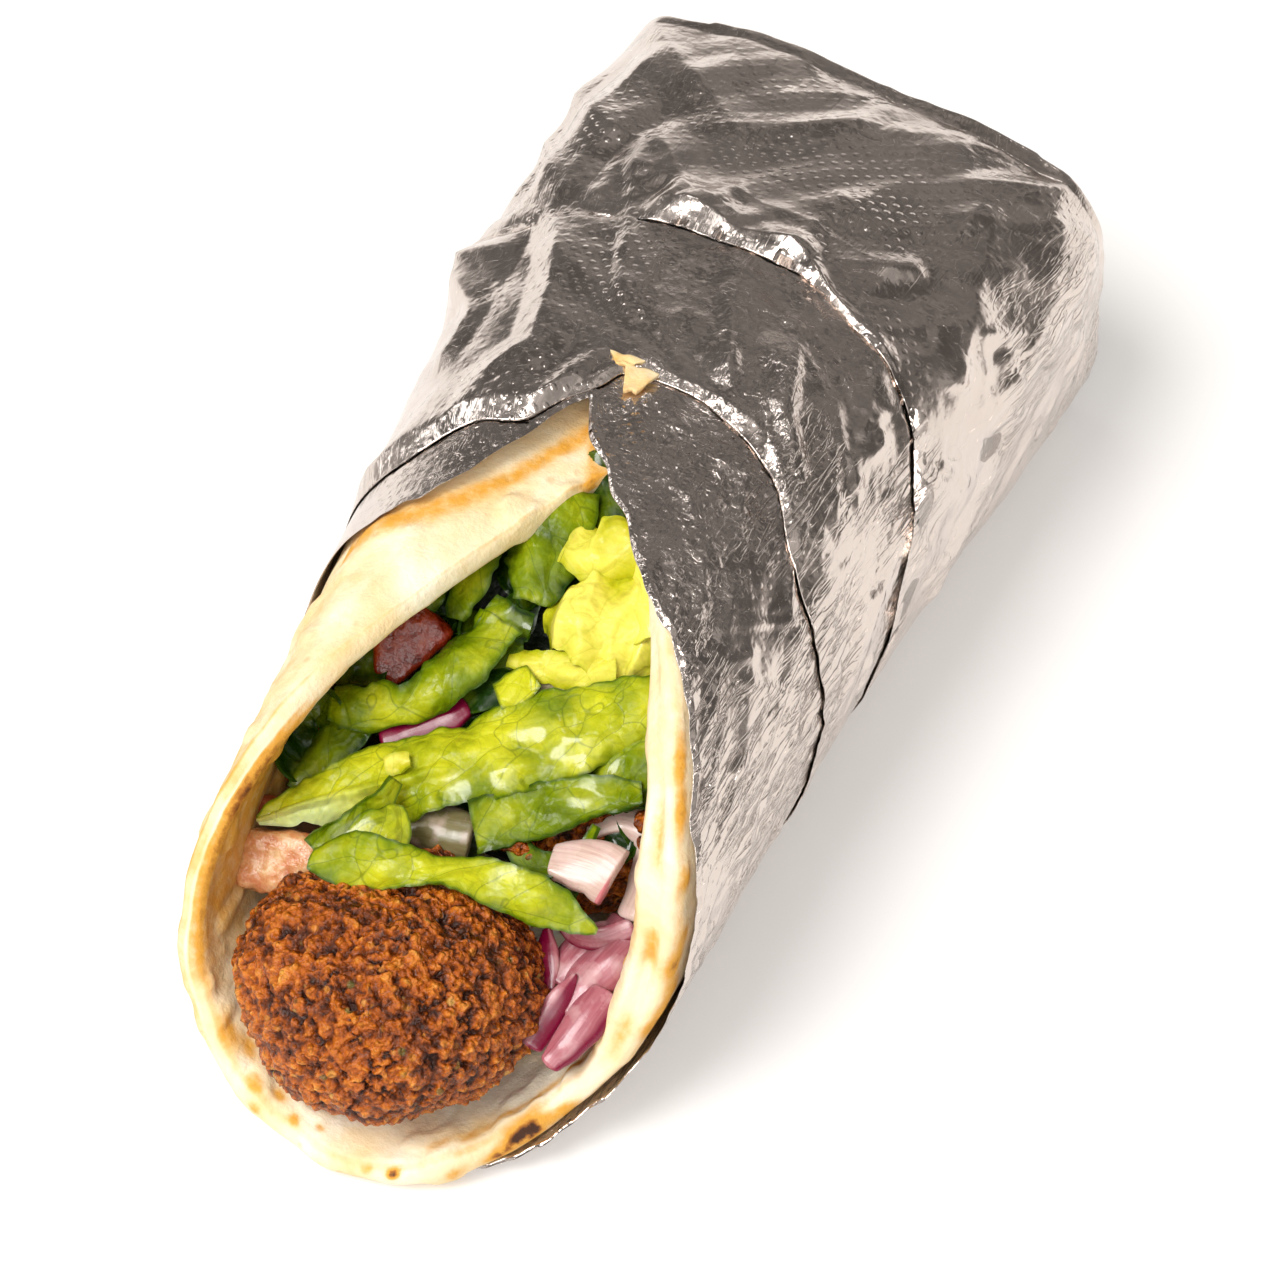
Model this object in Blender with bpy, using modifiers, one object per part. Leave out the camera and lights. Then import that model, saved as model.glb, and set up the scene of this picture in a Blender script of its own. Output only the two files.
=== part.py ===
"""A falafel wrap: flatbread rolled round falafel and salad, in a jacket of wound foil.

It lies along Y with its open mouth towards -Y and its foil end towards +Y. Metres, +Z up,
origin under the middle of the wrap.
"""

import math

import bmesh
import bpy
from mathutils import Vector, noise

MM = 0.001

# The roll: place along Y, half width, height, squareness and sideways shift of its outside
SECTIONS = (
    (-102 * MM, 36.0 * MM, 62 * MM, 2.30, 0.5 * MM),
    (-65 * MM, 37.8 * MM, 66 * MM, 2.30, 0.5 * MM),
    (-20 * MM, 40.0 * MM, 68 * MM, 2.35, -1.0 * MM),
    (25 * MM, 42.8 * MM, 67 * MM, 2.50, -2.8 * MM),
    (65 * MM, 45.0 * MM, 61 * MM, 3.0, -3.0 * MM),
    (104 * MM, 46.0 * MM, 54 * MM, 4.4, -3.2 * MM),
)
BOTTOM_SINK = 0.9 * MM  # how much of the round underside is pressed flat

# Foil, wound so that one to three layers lie on each other
FOIL_END = 98 * MM  # where the sides fold over into the end
FOIL_SLANT = 6 * MM  # how much further back the end's left side is, and its right side less
FOIL_BULGE = 3.0 * MM  # how far the folded end stands out past that
FOIL_LAYER = 0.45 * MM
FOIL_INSIDE = 1.4 * MM  # from the outermost layer to the inside of the innermost one
FOIL_COLUMNS = 46

# Flatbread
GAP = 0.3 * MM
BREAD = 4.8 * MM
BREAD_INSET = FOIL_INSIDE + GAP
BREAD_END = 88 * MM
OVERLAP_GAP = 0.5 * MM
FLAP_RIGHT = 1.06  # where the upper flap ends, in half turns from the underside
FLAP_LEFT = -1.14  # where the flap tucked under it ends
BREAD_COLUMNS, BREAD_ROWS = 42, 11

# Filling
FILLING_GAP = 1.2 * MM
FILLING_FRONT = -60 * MM
FILLING_END = 86 * MM
FILLING_TOP = 51 * MM
HEAP_FRONT = 31 * MM  # how high the salad stands at its front
HEAP_SLOPE = 0.5

# Front edges as (half turn, place along Y). The turn is 0 under the wrap, positive on the
# +X side and 1 at the top.
BREAD_RIM = (
    (-1.14, 10 * MM),
    (-1.0, -4 * MM),
    (-0.88, -25 * MM),
    (-0.78, -46 * MM),
    (-0.68, -65 * MM),
    (-0.55, -79 * MM),
    (-0.38, -88 * MM),
    (-0.20, -95 * MM),
    (0.0, -98 * MM),
    (0.14, -93 * MM),
    (0.30, -78 * MM),
    (0.46, -67 * MM),
    (0.62, -58 * MM),
    (0.75, -41 * MM),
    (0.88, -26 * MM),
    (1.0, -10 * MM),
    (1.06, -1 * MM),
)
FOIL_EDGE = (
    (-0.94, 10 * MM),
    (-0.84, 2 * MM),
    (-0.72, -6 * MM),
    (-0.60, -15 * MM),
    (-0.40, -30 * MM),
    (-0.15, -62 * MM),
    (0.05, -86 * MM),
    (0.18, -85 * MM),
    (0.30, -75 * MM),
    (0.46, -65 * MM),
    (0.62, -56 * MM),
    (0.75, -39 * MM),
    (0.88, -24 * MM),
    (1.0, -8 * MM),
    (1.055, 1 * MM),
)
MIDDLE_EDGE = (
    (-0.94, 13 * MM),
    (-0.79, 8 * MM),
    (-0.62, 6 * MM),
    (-0.30, -8 * MM),
    (0.0, -30 * MM),
    (0.30, -26 * MM),
    (0.50, -17 * MM),
    (0.64, -12 * MM),
    (0.72, -6 * MM),
    (0.80, 4 * MM),
    (0.90, 11 * MM),
    (1.055, 14 * MM),
)
OUTER_EDGE = (
    (-0.92, 46 * MM),
    (-0.80, 44 * MM),
    (-0.60, 37 * MM),
    (-0.30, 24 * MM),
    (0.0, 6 * MM),
    (0.30, 2 * MM),
    (0.50, 9 * MM),
    (0.60, 19 * MM),
    (0.70, 30 * MM),
    (0.80, 37 * MM),
    (0.90, 43 * MM),
    (1.06, 46 * MM),
)

COLOURS = {
    "bread": ((0.86, 0.66, 0.40, 1), 0.75, 0.0),
    "foil": ((0.56, 0.52, 0.48, 1), 0.28, 1.0),
    "falafel": ((0.24, 0.085, 0.025, 1), 0.7, 0.0),
    "lettuce": ((0.24, 0.42, 0.05, 1), 0.4, 0.0),
    "lettuce_heart": ((0.55, 0.62, 0.10, 1), 0.4, 0.0),
    "tomato": ((0.55, 0.08, 0.03, 1), 0.3, 0.0),
    "onion": ((0.72, 0.60, 0.55, 1), 0.3, 0.0),
    "red_onion": ((0.50, 0.16, 0.30, 1), 0.3, 0.0),
}


def clear_scene():
    for thing in list(bpy.data.objects):
        bpy.data.objects.remove(thing, do_unlink=True)


def material(name):
    """A Principled material with the colour, roughness and metallic value of COLOURS."""
    if name in bpy.data.materials:
        return bpy.data.materials[name]
    colour, roughness, metallic = COLOURS[name]
    made = bpy.data.materials.new(name)
    made.use_nodes = True
    shader = made.node_tree.nodes["Principled BSDF"]
    shader.inputs["Base Color"].default_value = colour
    shader.inputs["Roughness"].default_value = roughness
    shader.inputs["Metallic"].default_value = metallic
    return made


def add_object(name, mesh, finish, place=None):
    """A named object in the wrap's collection."""
    thing = bpy.data.objects.new(name, mesh)
    mesh.materials.append(material(finish))
    if place is not None:
        thing.location = place
    bpy.data.collections["falafel_wrap"].objects.link(thing)
    return thing


def smooth_step(low, high, value):
    share = min(max((value - low) / (high - low), 0.0), 1.0)
    return share * share * (3 - 2 * share)


def read_curve(points, at):
    """The row of values at a place on a table, on a smooth curve through its rows."""
    rows = [row if isinstance(row[1], tuple) else (row[0], row[1:]) for row in points]
    at = min(max(at, rows[0][0]), rows[-1][0])
    after = next(i for i in range(1, len(rows)) if at <= rows[i][0])
    before = after - 1
    (x0, a), (x1, b) = rows[before], rows[after]
    span = x1 - x0
    t = (at - x0) / span

    def slope(i):
        low, high = rows[max(i - 1, 0)], rows[min(i + 1, len(rows) - 1)]
        return [(h - l) / (high[0] - low[0]) * span for l, h in zip(low[1], high[1])]

    return [
        (2 * t**3 - 3 * t**2 + 1) * p
        + (t**3 - 2 * t**2 + t) * m
        + (3 * t**2 - 2 * t**3) * q
        + (t**3 - t**2) * n
        for p, q, m, n in zip(a, b, slope(before), slope(after))
    ]


def read_ring(points, turn):
    """An edge's place along Y at a turn, for an edge that runs all the way round."""
    first, last = points[0], points[-1]
    closed = ((last[0] - 2, last[1]), *points, (first[0] + 2, first[1]))
    while turn > closed[-1][0]:
        turn -= 2
    while turn < closed[0][0]:
        turn += 2
    return read_curve(closed, turn)[0]


def signed_power(value, power):
    return math.copysign(abs(value) ** power, value)


def skin(y, turn, inset, floor=None):
    """A point of the roll's surface, set in by inset and no lower than floor."""
    half, height, squareness, shift = read_curve(SECTIONS, y)
    angle = math.pi * turn
    x = shift + (half - inset) * signed_power(math.sin(angle), 2 / squareness)
    z = height / 2 - (height / 2 - inset) * signed_power(math.cos(angle), 2 / squareness)
    return Vector((x, y, max(z - BOTTOM_SINK, inset if floor is None else floor)))


def bent_grid(name, columns, rows, place, closed=False):
    """A grid of columns by rows whose points are moved to place(u, v), both from 0 to 1."""
    mesh = bpy.data.meshes.new(name)
    bm = bmesh.new()
    bmesh.ops.create_grid(bm, x_segments=columns, y_segments=rows, size=0.5)
    for vert in bm.verts:
        vert.co = place(vert.co.x + 0.5, vert.co.y + 0.5)
    if closed:
        bmesh.ops.remove_doubles(bm, verts=bm.verts, dist=0.01 * MM)
        bmesh.ops.recalc_face_normals(bm, faces=bm.faces)
    bm.to_mesh(mesh)
    bm.free()
    mesh.shade_smooth()
    return mesh


def thicken(thing, thickness, offset):
    wall = thing.modifiers.new("Wall", "SOLIDIFY")
    wall.thickness = thickness
    wall.offset = offset
    wall.use_even_offset = True
    return wall


# Foil -------------------------------------------------------------------------------------


def foil_rows():
    """The rows of the foil's surface, from the inside of its end, over the front edge, to the
    outside of its end. Each is (inset, shape), and shape(turn) gives place along Y and shrink."""
    rows = []

    def wall(inset, low, high, shares):
        for share in shares:
            rows.append(
                (inset, lambda turn, s=share: (low(turn) + (high(turn) - low(turn)) * s, 1.0))
            )

    def front(turn):
        return read_ring(FOIL_EDGE, turn)

    def middle(turn):
        return read_ring(MIDDLE_EDGE, turn)

    def outer(turn):
        return read_ring(OUTER_EDGE, turn)

    def end(turn):
        return FOIL_END - FOIL_SLANT * math.sin(math.pi * turn)

    def cap(inset, back, shares):
        for out, shrink in shares:
            rows.append(
                (inset, lambda turn, o=out, k=shrink: (back(turn, k) + FOIL_BULGE * o, k))
            )

    def inner_end(turn):
        return end(turn) - FOIL_INSIDE

    def outer_cap(turn, shrink):
        return FOIL_END - FOIL_SLANT * math.sin(math.pi * turn) * shrink

    def inner_cap(turn, shrink):
        return outer_cap(turn, shrink) - FOIL_INSIDE

    cap(FOIL_INSIDE, inner_cap, ((1.0, 0.0), (1.0, 0.35), (0.9, 0.7), (0.6, 0.93)))
    wall(FOIL_INSIDE, front, inner_end, (1.0, 0.85, 0.65, 0.45, 0.25, 0.1, 0.0))
    wall(2 * FOIL_LAYER, front, middle, (0.0, 0.2, 0.4, 0.6, 0.8, 1.0))
    wall(FOIL_LAYER, middle, outer, (0.0, 0.2, 0.4, 0.6, 0.8, 1.0))
    wall(0.0, outer, end, (0.0, 0.15, 0.3, 0.45, 0.6, 0.75, 0.9, 1.0))
    cap(0.0, outer_cap, ((0.6, 0.93), (0.9, 0.7), (1.0, 0.35), (1.0, 0.0)))
    return rows


def make_foil():
    """A pouch of foil: wound layers with stepped front edges, and a folded end."""
    rows = foil_rows()
    count = len(rows) - 1

    def place(u, v):
        inset, shape = rows[round(v * count)]
        turn = 2 * u - 1
        y, shrink = shape(turn)
        outside = inset < FOIL_INSIDE
        point = skin(y, turn, inset, floor=0.0 if outside else None)
        middle = skin(y, 0.5, 0).z
        return Vector((point.x * shrink, y, middle + (point.z - middle) * shrink))

    mesh = bent_grid("foil_wrap", FOIL_COLUMNS, count, place, closed=True)
    return add_object("foil_wrap", mesh, "foil")


# Flatbread --------------------------------------------------------------------------------


def bread_inset(turn):
    """The left flap sinks by the bread's own thickness where the right flap covers it."""
    tuck = 1 - smooth_step(-0.96, -0.70, turn)
    return BREAD_INSET + tuck * (BREAD + OVERLAP_GAP)


def make_bread():
    """One sheet of bread rolled into a tube, its left flap tucked under its right one."""

    def place(u, v):
        turn = FLAP_RIGHT + (FLAP_LEFT - FLAP_RIGHT) * u
        rim = read_curve(BREAD_RIM, turn)[0]
        y = rim + (BREAD_END - rim) * v**1.3
        return skin(y, turn, bread_inset(turn))

    mesh = bent_grid("flatbread", BREAD_COLUMNS, BREAD_ROWS, place)
    bread = add_object("flatbread", mesh, "bread")
    thicken(bread, BREAD, -1)
    return bread


# Filling ----------------------------------------------------------------------------------


def lumps(x, y, size, height):
    """An uneven heap's relief."""
    return height * noise.noise(Vector((x / size, y / size, 0.5)))


def heap_top(x, y):
    """The salad climbs from behind the front falafel to the roof of the roll."""
    slope = HEAP_FRONT + HEAP_SLOPE * (y - FILLING_FRONT)
    return min(slope + lumps(x, y, 9 * MM, 1.6 * MM), FILLING_TOP)


def make_salad():
    """The heap of shredded leaves that runs through the roll, out to its uneven outline."""
    columns, rows = 30, 18
    inside = BREAD_INSET + BREAD + FILLING_GAP
    closing = (0.0, 0.55, 0.92)  # how far the heap's two end faces reach out, row by row

    def place(u, v):
        turn, row = 2 * u - 1, round(v * rows)
        nearest = min(row, rows - row)
        shrink = closing[nearest] if nearest < len(closing) else 1.0
        along = min(max((row - 2) / (rows - 4), 0.0), 1.0)
        back_right = 9 * MM * smooth_step(0, 0.4, turn) * smooth_step(0, 0.2, 1 - turn) * shrink
        front = FILLING_FRONT + back_right
        y = front + (FILLING_END - front) * along
        flap = max(1 - smooth_step(-0.96, -0.7, turn), smooth_step(0.7, 0.84, turn))
        point = skin(y, turn, inside + flap * (BREAD + OVERLAP_GAP))
        point.z = min(point.z, heap_top(point.x, y))
        middle = Vector((0, y, inside + 9 * MM))
        return middle + (point - middle) * shrink

    mesh = bent_grid("salad_filling", columns, rows, place, closed=True)
    salad = add_object("salad_filling", mesh, "lettuce")
    beds = salad.modifiers.new("Beds", "BOOLEAN")
    beds.operation = "DIFFERENCE"
    beds.solver = "EXACT"
    beds.operand_type = "COLLECTION"
    beds.collection = bpy.data.collections["cutters"]
    return salad


def make_falafel(name, place, radius, height, detail, seed, tilt):
    """A round fried patty with a rough, lumpy crust."""
    mesh = bpy.data.meshes.new(name)
    bm = bmesh.new()
    bmesh.ops.create_icosphere(bm, subdivisions=detail, radius=1)
    for vert in bm.verts:
        broad = vert.co * 1.7 + Vector((seed, 0, 0))
        fine = vert.co * 5.5 + Vector((0, seed, 0))
        swell = 1 + 0.06 * noise.noise(broad) + 0.04 * noise.noise(fine)
        vert.co = Vector((vert.co.x * radius, vert.co.y * radius, vert.co.z * height / 2)) * swell
    bm.to_mesh(mesh)
    bm.free()
    mesh.shade_smooth()
    ball = add_object(name, mesh, "falafel", place)
    ball.rotation_euler = tilt
    return ball


def make_cutter(thing):
    """A copy of a piece, a little larger all round, that hollows out its bed in the salad."""
    cutter = thing.copy()
    cutter.data = thing.data.copy()
    cutter.name = thing.name + "_bed"
    largest = max(thing.dimensions)
    cutter.scale = (1 + 2 * GAP / largest,) * 3 if largest else (1.02,) * 3
    cutter.hide_render = True
    cutter.display_type = "WIRE"
    bpy.data.collections["cutters"].objects.link(cutter)


def make_ribbon(name, finish, path, width, thickness, facing, waves=0.0, crimp=0.0, fold=0.0):
    """A strip of leaf or onion along a path, in millimetres, its broad side towards facing.

    crimp is the height of the waves along its edges, and fold lifts both its edges.
    """
    count = len(path) - 1
    table = [(i / count, tuple(c * MM for c in spot)) for i, spot in enumerate(path)]
    facing = Vector(facing).normalized()

    def place(u, v):
        spot = Vector(read_curve(table, u))
        ahead = Vector(read_curve(table, min(u + 0.02, 1)))
        along = ahead - Vector(read_curve(table, max(u - 0.02, 0)))
        across = along.cross(facing).normalized()
        lift = across.cross(along).normalized()
        share = 2 * v - 1
        taper = math.sqrt(max(1 - abs(2 * u - 1) ** 3.5, 0.06))
        wave = crimp * math.sin(2 * math.pi * waves * u) * share + fold * share**2
        return spot + across * (share * width * MM / 2 * taper) + lift * wave * MM

    mesh = bent_grid(name, 3 * count, 2, place)
    strip = add_object(name, mesh, finish)
    thicken(strip, thickness * MM, 0)
    return strip


def make_chunk(name, finish, place, size, turned, bow):
    """A cut chunk of tomato or onion: a tapered block whose upper face is bowed out."""
    mesh = bpy.data.meshes.new(name)
    bm = bmesh.new()
    bmesh.ops.create_cube(bm, size=1)
    bmesh.ops.subdivide_edges(bm, edges=bm.edges[:], cuts=3, use_grid_fill=True)
    half = Vector(size) * MM / 2
    for vert in bm.verts:
        corner = vert.co * 2
        taper = 1 - 0.15 * (corner.z + 1)
        bulge = bow * (1 - 0.5 * (corner.x**2 + corner.y**2)) if corner.z > 0 else 0.0
        vert.co = Vector(
            (
                corner.x * half.x * taper * (1 - 0.12 * corner.y**2),
                corner.y * half.y * taper * (1 - 0.12 * corner.x**2),
                (corner.z + bulge) * half.z,
            )
        )
    bm.to_mesh(mesh)
    bm.free()
    mesh.shade_smooth()
    chunk = add_object(name, mesh, finish, Vector(place) * MM)
    chunk.rotation_euler = [math.radians(a) for a in turned]
    return chunk


def make_falafels():
    front = make_falafel(
        "falafel_front", Vector((-2.5, -76, 21.8)) * MM, 22 * MM, 29 * MM, 4, 3.1, (0.08, 0.04, 0.3)
    )
    rear = make_falafel(
        "falafel_rear", Vector((14, -38, 26)) * MM, 16.5 * MM, 26 * MM, 3, 7.7, (0.2, 0.1, 1.0)
    )
    return front, rear


def make_lettuce():
    """The larger strips of leaf that lie on the heap."""
    up_slope = (0, -0.45, 0.9)
    strips = (
        (
            "lettuce_strip_long",
            [(-27, -64.5, 36), (-18, -58, 37.8), (-6.3, -51, 41), (6, -42, 45), (17, -34, 48.5)],
            12,
            1.5,
            0.8,
        ),
        (
            "lettuce_strip_front",
            [(-14.5, -70, 37), (-6, -68.5, 38.6), (2, -66.5, 38.8), (9, -65, 38.4), (19, -63.5, 36)],
            8,
            1.5,
            0.8,
        ),
        ("lettuce_strip_middle", [(2.5, -55, 37), (11, -50.5, 39.5), (21, -44, 42.2)], 8, 1.0, 0.8),
        (
            "lettuce_strip_rear",
            [(-24.5, -46, 42), (-16, -43.5, 43.5), (-10, -37.5, 46.5), (-8, -30, 50)],
            8,
            1.0,
            1.2,
        ),
    )
    for name, path, width, waves, crimp in strips:
        make_ribbon(name, "lettuce", path, width, 0.9, up_slope, waves, crimp)
    make_ribbon(
        "lettuce_heart_leaf",
        "lettuce_heart",
        [(2.5, -19, 53.5), (8, -23.5, 52.7), (13.5, -29.5, 50.5)],
        14,
        1.0,
        (0.1, -0.5, 0.9),
        1.0,
        1.0,
    )


def make_vegetables():
    """The chunks of tomato and onion and the slices of red onion."""
    make_chunk("tomato_chunk", "tomato", (-25, -67.5, 29.2), (6.5, 10, 4), (0, -35, -8), 0.3)
    make_chunk("tomato_wedge", "tomato", (-19, -33, 49), (7, 11, 4), (25, -10, 25), 0.4)
    make_chunk("onion_white_piece", "onion", (-4, -58.4, 35.6), (8, 5, 1.8), (12, 0, 20), 0.4)
    make_chunk("onion_chunk", "onion", (20.5, -55.2, 36.3), (9, 8, 2.6), (27, 10, 15), 0.4)
    slices = (
        ("red_onion_1", [(17, -59.5, 25), (21.4, -61.5, 26.5), (25.6, -60, 27)], 2.6, (0, -0.4, 1)),
        ("red_onion_2", [(20.6, -66, 24), (21.6, -67, 21.5), (21.8, -70, 18.8)], 2.4, (-0.6, 0, 1)),
        ("red_onion_3", [(24.6, -57, 22.5), (24, -62, 21.5), (24.4, -67, 20.5)], 2.8, (0, -0.3, 1)),
        ("red_onion_4", [(28, -59, 24.6), (28, -66, 24.5), (27.6, -72, 23.5)], 3.6, (-0.3, 0, 1)),
        ("red_onion_5", [(23.4, -69, 16.5), (22.8, -74, 15), (22.2, -80, 13.8)], 3.4, (-0.6, 0, 1)),
        ("red_onion_6", [(27.6, -68, 20.2), (27.2, -74.5, 19), (25.2, -79.5, 16.6)], 2.4, (-0.8, 0, 1)),
    )
    for name, path, width, facing in slices:
        make_ribbon(name, "red_onion", path, width, 1.4, facing)


def centre_on_origin():
    """Puts the middle of the wrap's bounding box over the origin."""
    bpy.context.view_layer.update()
    things = list(bpy.data.collections["falafel_wrap"].objects)
    graph = bpy.context.evaluated_depsgraph_get()
    corners = [
        thing.matrix_world @ vert.co
        for thing in things
        for vert in thing.evaluated_get(graph).data.vertices
    ]
    low = [min(corner[i] for corner in corners) for i in range(3)]
    high = [max(corner[i] for corner in corners) for i in range(3)]
    shift = Vector((-(low[0] + high[0]) / 2, -(low[1] + high[1]) / 2, -low[2]))
    for thing in things + list(bpy.data.collections["cutters"].objects):
        thing.location += shift


def main():
    clear_scene()
    for name in ("falafel_wrap", "cutters"):
        bpy.context.scene.collection.children.link(bpy.data.collections.new(name))
    make_foil()
    make_bread()
    for falafel in make_falafels():
        make_cutter(falafel)
    make_salad()
    make_lettuce()
    make_vegetables()
    centre_on_origin()


main()
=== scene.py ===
import math

import bpy
import numpy as np
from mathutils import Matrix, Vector, noise


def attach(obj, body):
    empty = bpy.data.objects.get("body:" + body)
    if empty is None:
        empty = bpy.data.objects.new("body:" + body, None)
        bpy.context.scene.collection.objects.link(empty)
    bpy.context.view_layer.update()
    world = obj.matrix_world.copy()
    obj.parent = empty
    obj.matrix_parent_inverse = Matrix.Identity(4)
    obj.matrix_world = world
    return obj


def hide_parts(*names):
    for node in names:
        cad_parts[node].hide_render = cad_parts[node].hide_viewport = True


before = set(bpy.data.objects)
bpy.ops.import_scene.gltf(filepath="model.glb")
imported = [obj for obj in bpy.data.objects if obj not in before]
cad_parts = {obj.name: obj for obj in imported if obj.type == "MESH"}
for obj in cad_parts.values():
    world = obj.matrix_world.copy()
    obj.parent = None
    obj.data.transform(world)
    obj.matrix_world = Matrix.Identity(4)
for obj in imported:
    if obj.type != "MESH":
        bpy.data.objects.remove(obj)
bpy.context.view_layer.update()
bpy.ops.object.select_all(action="DESELECT")
print("frame loaded")

mm = 0.001
rollShift = np.array((3.306, -3.679, 0.0))  # the roll's own zero against the frame's, in mm

# outside of the roll, in mm: place along it, half width, height, squareness, sideways shift
rollSections = (
    (-102, 36.0, 62, 2.30, 0.5),
    (-65, 37.8, 66, 2.30, 0.5),
    (-20, 40.0, 68, 2.35, -1.0),
    (25, 42.8, 67, 2.50, -2.8),
    (65, 45.0, 61, 3.0, -3.0),
    (104, 46.0, 54, 4.4, -3.2),
)
rollSink = 0.9
halfGirth = 125.0  # a turn of 1 along the skin, in mm

# front edges as (turn, place along the roll): 0 is underneath, 0.5 the right side, 1 the top
breadRim = (
    (-1.14, 10), (-1.0, -4), (-0.88, -25), (-0.78, -46), (-0.68, -65), (-0.55, -79),
    (-0.38, -88), (-0.20, -95), (0.0, -98), (0.14, -93), (0.30, -78), (0.46, -67),
    (0.62, -58), (0.72, -44), (0.79, -33), (0.86, -22), (0.92, -12), (1.0, -1), (1.06, 6),
)
foilEdge = (
    (-0.945, 5), (-0.86, -11), (-0.79, -20), (-0.72, -23.5), (-0.62, -28), (-0.40, -44),
    (-0.15, -68), (0.05, -88), (0.18, -88), (0.30, -77), (0.46, -65), (0.62, -56),
    (0.71, -43.5), (0.78, -33.8), (0.82, -30.5), (0.863, -26), (0.90, -21), (0.925, -16.5),
    (0.968, -11.5), (0.995, -7), (1.03, -3), (1.05, 3),
)
middleEdge = (
    (-0.955, 7.5), (-0.915, 2), (-0.88, -3.5), (-0.81, -5.5), (-0.73, -12), (-0.62, -15),
    (-0.30, -22), (0.0, -32), (0.30, -26), (0.50, -17),
    (0.64, -12), (0.72, -6), (0.80, 4), (0.90, 9.8), (0.98, 11.2), (1.03, 10.5),
)
outerEdge = (
    (-0.92, 46), (-0.80, 44), (-0.60, 37), (-0.30, 24), (0.0, 6), (0.30, 2), (0.50, 9),
    (0.60, 19), (0.70, 30), (0.80, 37), (0.90, 43), (1.06, 46),
)


def smoothStep(low, high, value):
    share = np.clip((value - low) / (high - low), 0, 1)
    return share * share * (3 - 2 * share)


def smoothCurve(table, at):  # a smooth curve through the rows of a table
    rows = np.array(table, float)
    places, values = rows[:, 0], rows[:, 1:]
    last = len(rows) - 1
    ahead = np.minimum(np.arange(last + 1) + 1, last)
    behind = np.maximum(np.arange(last + 1) - 1, 0)
    slopes = (values[ahead] - values[behind]) / (places[ahead] - places[behind])[:, None]
    at = np.clip(np.asarray(at, float), places[0], places[-1])
    k = np.clip(np.searchsorted(places, at, side="right") - 1, 0, last - 1)
    span = (places[k + 1] - places[k])[..., None]
    t = (at - places[k])[..., None] / span
    return (
        (2 * t**3 - 3 * t**2 + 1) * values[k]
        + (t**3 - 2 * t**2 + t) * slopes[k] * span
        + (3 * t**2 - 2 * t**3) * values[k + 1]
        + (t**3 - t**2) * slopes[k + 1] * span
    )


def ringCurve(table, turn):  # the same for an edge that runs all the way round
    first, last = table[0], table[-1]
    closed = ((last[0] - 2, last[1]), *table, (first[0] + 2, first[1]))
    turn = np.where(turn > closed[-1][0], turn - 2, turn)
    return smoothCurve(closed, turn)[..., 0]


# angle round a squared oval for an even share of its girth, for squareness 2 to 5
squareSteps = np.linspace(2.0, 5.0, 31)
angleTable = np.empty((len(squareSteps), 801))
for squareIndex, square in enumerate(squareSteps):
    sweep = np.linspace(0, np.pi, 2001)
    outX = 42 * np.abs(np.sin(sweep)) ** (2 / square)
    outZ = -32 * np.sign(np.cos(sweep)) * np.abs(np.cos(sweep)) ** (2 / square)
    girthSoFar = np.concatenate(([0], np.cumsum(np.hypot(np.diff(outX), np.diff(outZ)))))
    angleTable[squareIndex] = np.interp(
        np.linspace(0, 1, 801), girthSoFar / girthSoFar[-1], sweep
    )


def rollAngle(turn, square):
    wrapped = np.where(turn > 1, turn - 2, turn)
    share = np.clip(np.abs(wrapped), 0, 1) * 800
    over = np.where(np.abs(wrapped) > 1, np.abs(wrapped) - 1, 0)
    row = np.clip((square - 2.0) / 0.1, 0, len(squareSteps) - 1.001)
    r, c = row.astype(int), np.minimum(share.astype(int), 799)
    fr, fc = row - r, share - c
    angle = (1 - fr) * ((1 - fc) * angleTable[r, c] + fc * angleTable[r, c + 1]) + fr * (
        (1 - fc) * angleTable[r + 1, c] + fc * angleTable[r + 1, c + 1]
    )
    return np.sign(wrapped) * (angle + over * np.pi)


def rollAt(y, turn, inset=0.0):  # points of the roll's skin set in by inset, in mm
    half, height, square, side = np.moveaxis(smoothCurve(rollSections, y), -1, 0)
    angle = rollAngle(turn, square)
    sine, cosine = np.sin(angle), np.cos(angle)
    x = side + (half - inset) * np.sign(sine) * np.abs(sine) ** (2 / square)
    z = height / 2 - (height / 2 - inset) * np.sign(cosine) * np.abs(cosine) ** (2 / square)
    return np.stack((x + rollShift[0], y + rollShift[1], z - rollSink), -1)


def rollOutward(y, turn):
    step = 0.012
    along = rollAt(y, turn + step, 2.0) - rollAt(y, turn - step, 2.0)
    outward = np.stack((along[..., 2], np.zeros_like(along[..., 0]), -along[..., 0]), -1)
    return outward / np.maximum(np.linalg.norm(outward, axis=-1, keepdims=True), 1e-9)


def noiseAt(points, size, seed=0.0):  # smooth noise from -1 to 1 at points in mm
    flat = np.asarray(points, float).reshape(-1, 3) / size + seed * 7.31
    values = np.fromiter((noise.noise(Vector(p)) for p in flat), float, len(flat))
    return values.reshape(np.shape(points)[:-1])


def cellsAt(points, size, seed=0.0):  # distance to the nearest of many seeds, and to the next
    flat = np.asarray(points, float).reshape(-1, 3) / size + seed * 7.31
    near = np.array([noise.voronoi(Vector(p))[0][:2] for p in flat])
    return near[:, 0], near[:, 1]


def flat(a, b):
    return np.stack((a, b, np.zeros_like(a)), -1)


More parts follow.
